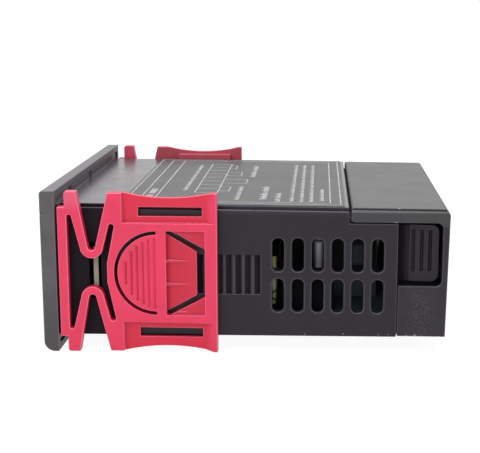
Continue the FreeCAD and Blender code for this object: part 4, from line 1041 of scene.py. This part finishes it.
def inside_finishes():
    """The finish of each solid that stays as it is."""
    relay = Finish("Relay housing", (0.006, 0.007, 0.009), 0.5, 0.015, 0.15)
    for lit in (((50.0, 80.0), (-14.0, -4.2), 1.5), ((61.6, 65.4), (-2.2, 3.2), 1.2)):
        relay.layer((0.10, 0.12, 0.13), relay.inside(*lit))
    steel = Finish("Zinc plated steel", (0.62, 0.62, 0.63), 0.32, 0.006, clouds=900.0, spread=0.1, metallic=1.0)
    tin = Finish("Tin plated brass", (0.66, 0.63, 0.55), 0.36, 0.006, clouds=700.0, spread=0.12, metallic=1.0)
    black = Finish("Black part plastic", (0.004, 0.004, 0.005), 0.6, 0.02, 0.05)
    black_nodes = (
        "suppression_capacitor", "board_header", "controller_chip", "voltage_regulator", "buzzer",
        "transformer_bobbin", "switch_bodies", *[name + "_plunger" for name in KEYS],
    )
    return dict.fromkeys(black_nodes, black) | dict.fromkeys(("relay_heating", "relay_cooling"), relay) | {
        "main_board": board_finish("Main board laminate", "Z"),
        "display_board": board_finish("Display board laminate", "X"),
        "transformer_winding": Finish("Enamelled wire", (0.012, 0.010, 0.003), 0.5, 0.02, 0.1, grain=2500.0),
        "transformer_core": Finish("Ferrite", (0.012, 0.012, 0.013), 0.6, 0.03, 0.1, grain=3500.0, spread=0.25),
        "varistor": Finish("Dipped coat", (0.03, 0.10, 0.34), 0.25, 0.03, grain=900.0, spread=0.1),
        "digit_display": Finish("Display face", (0.006, 0.006, 0.007), 0.55, 0.0005, 0.0),
        "digit_segments": Finish("Segment lens", (0.42, 0.36, 0.34), 0.35, 0.0005, spread=0.05),
        "indicator_leds": Finish("Lamp lens", (0.50, 0.035, 0.03), 0.35, 0.0005, spread=0.06),
        "terminal_block": Finish("Terminal plastic", (0.016, 0.021, 0.023), 0.5, 0.015, 0.3),
        "terminal_screws": steel,
        "terminal_clamps": tin,
    }


class CONTROLLER_OT_stage(Operator):
    """Pale floor, soft light and the camera"""

    bl_idname = "controller.stage"
    bl_label = "Stage"

    def execute(self, context):
        settings = context.scene.controller_stage
        context.scene.view_settings.view_transform = "Standard"
        lay_floor(settings)
        light_world(settings)
        hang_lamps()
        place_camera(context.scene, settings)
        return {"FINISHED"}


def seen_rays(graph):
    """1 for rays that show the backdrop itself: from the camera, by a reflection or through glass."""
    path = graph.add("ShaderNodeLightPath")
    seen = graph.math("MAXIMUM", path.outputs["Is Camera Ray"], path.outputs["Is Glossy Ray"])
    return graph.math("MAXIMUM", seen, path.outputs["Is Transmission Ray"])


def lay_floor(settings):
    """A wide floor under the object, white to the eye but with the object's shadow."""
    bpy.ops.mesh.primitive_plane_add(size=40.0, location=(0.0, 0.0, CAD_BOX[0].z))
    floor = bpy.context.object
    floor.name = "floor"
    material = bpy.data.materials.new("Pale floor")
    material.use_nodes = True
    graph = Graph(material.node_tree)
    matt = graph.add("ShaderNodeBsdfDiffuse", {"Color": settings.floor_colour})
    glow = graph.add("ShaderNodeEmission", {"Color": WHITE, "Strength": settings.floor_glow})
    share = graph.math("MULTIPLY", seen_rays(graph), 1 - settings.shadow)
    blend = graph.add("ShaderNodeMixShader", {0: share, 1: matt.outputs[0], 2: glow.outputs[0]})
    graph.add("ShaderNodeOutputMaterial", {"Surface": blend.outputs[0]})
    floor.data.materials.append(material)


def light_world(settings):
    """White where it is seen, and a plain even light otherwise."""
    world = bpy.data.worlds.new("White surround")
    world.use_nodes = True
    bpy.context.scene.world = world
    graph = Graph(world.node_tree)
    strength = graph.ramp(seen_rays(graph), 0.0, 1.0, settings.ambient, 1.0)
    background = graph.add("ShaderNodeBackground", {"Color": WHITE, "Strength": strength})
    graph.add("ShaderNodeOutputWorld", {"Surface": background.outputs[0]})


def hang_lamps():
    """Soft lamps above and in front."""
    aim = Vector((0.035, 0.0, 0.0))
    lamps = (  # name, place, size and power
        ("key_lamp", (-0.18, -0.42, 0.46), 0.35, 2.0),
        ("top_lamp", (0.06, 0.06, 0.62), 0.5, 3.2),
        ("side_lamp", (0.48, -0.22, 0.22), 0.3, 0.5),
    )
    for name, place, size, power in lamps:
        bpy.ops.object.light_add(type="AREA", location=place)
        lamp = bpy.context.object
        lamp.name = name
        lamp.data.size, lamp.data.energy = size, power
        lamp.rotation_euler = (aim - Vector(place)).to_track_quat("-Z", "Y").to_euler()


def place_camera(scene, settings):
    """The camera at the photograph's view."""
    bpy.ops.object.camera_add(location=settings.camera_place)
    camera = bpy.context.object
    tilt = math.pi / 2 - settings.look_down
    turn = Matrix.Rotation(settings.heading, 3, "Z") @ Matrix.Rotation(tilt, 3, "X")
    camera.rotation_euler = (turn @ Matrix.Rotation(settings.roll, 3, "Z")).to_euler()
    camera.data.lens = settings.camera_lens
    camera.data.clip_start = 0.01
    scene.camera = camera


class CONTROLLER_PT_looks(Panel):
    """Settings and steps of the controller's looks"""

    bl_label = "Controller"
    bl_idname = "CONTROLLER_PT_looks"
    bl_space_type = "VIEW_3D"
    bl_region_type = "UI"
    bl_category = "Controller"

    def draw(self, context):
        for name in SETTINGS:
            group = getattr(context.scene, name)
            box = self.layout.box()
            for prop in group.bl_rna.properties:
                if not prop.is_readonly and prop.identifier != "name":
                    box.prop(group, prop.identifier)
        for operator in OPERATORS:
            self.layout.operator(operator.bl_idname)


SETTINGS = {
    "controller_mouldings": MouldingSettings,
    "controller_label": LabelSettings,
    "controller_front": FrontSettings,
    "controller_stage": StageSettings,
}
OPERATORS = (
    CONTROLLER_OT_stage, CONTROLLER_OT_case, CONTROLLER_OT_bezel, CONTROLLER_OT_cover, CONTROLLER_OT_clips,
    CONTROLLER_OT_keys, CONTROLLER_OT_window, CONTROLLER_OT_label, CONTROLLER_OT_capacitors,
    CONTROLLER_OT_winding, CONTROLLER_OT_insides,
)
CLASSES = (*SETTINGS.values(), *OPERATORS, CONTROLLER_PT_looks)


def register():
    for kind in CLASSES:
        bpy.utils.register_class(kind)
    for name, settings in SETTINGS.items():
        setattr(bpy.types.Scene, name, bpy.props.PointerProperty(type=settings))


def unregister():
    for name in SETTINGS:
        delattr(bpy.types.Scene, name)
    for kind in reversed(CLASSES):
        bpy.utils.unregister_class(kind)


def main():
    register()
    for operator in OPERATORS:
        getattr(bpy.ops.controller, operator.bl_idname.split(".")[1])()


if __name__ == "__main__":
    main()
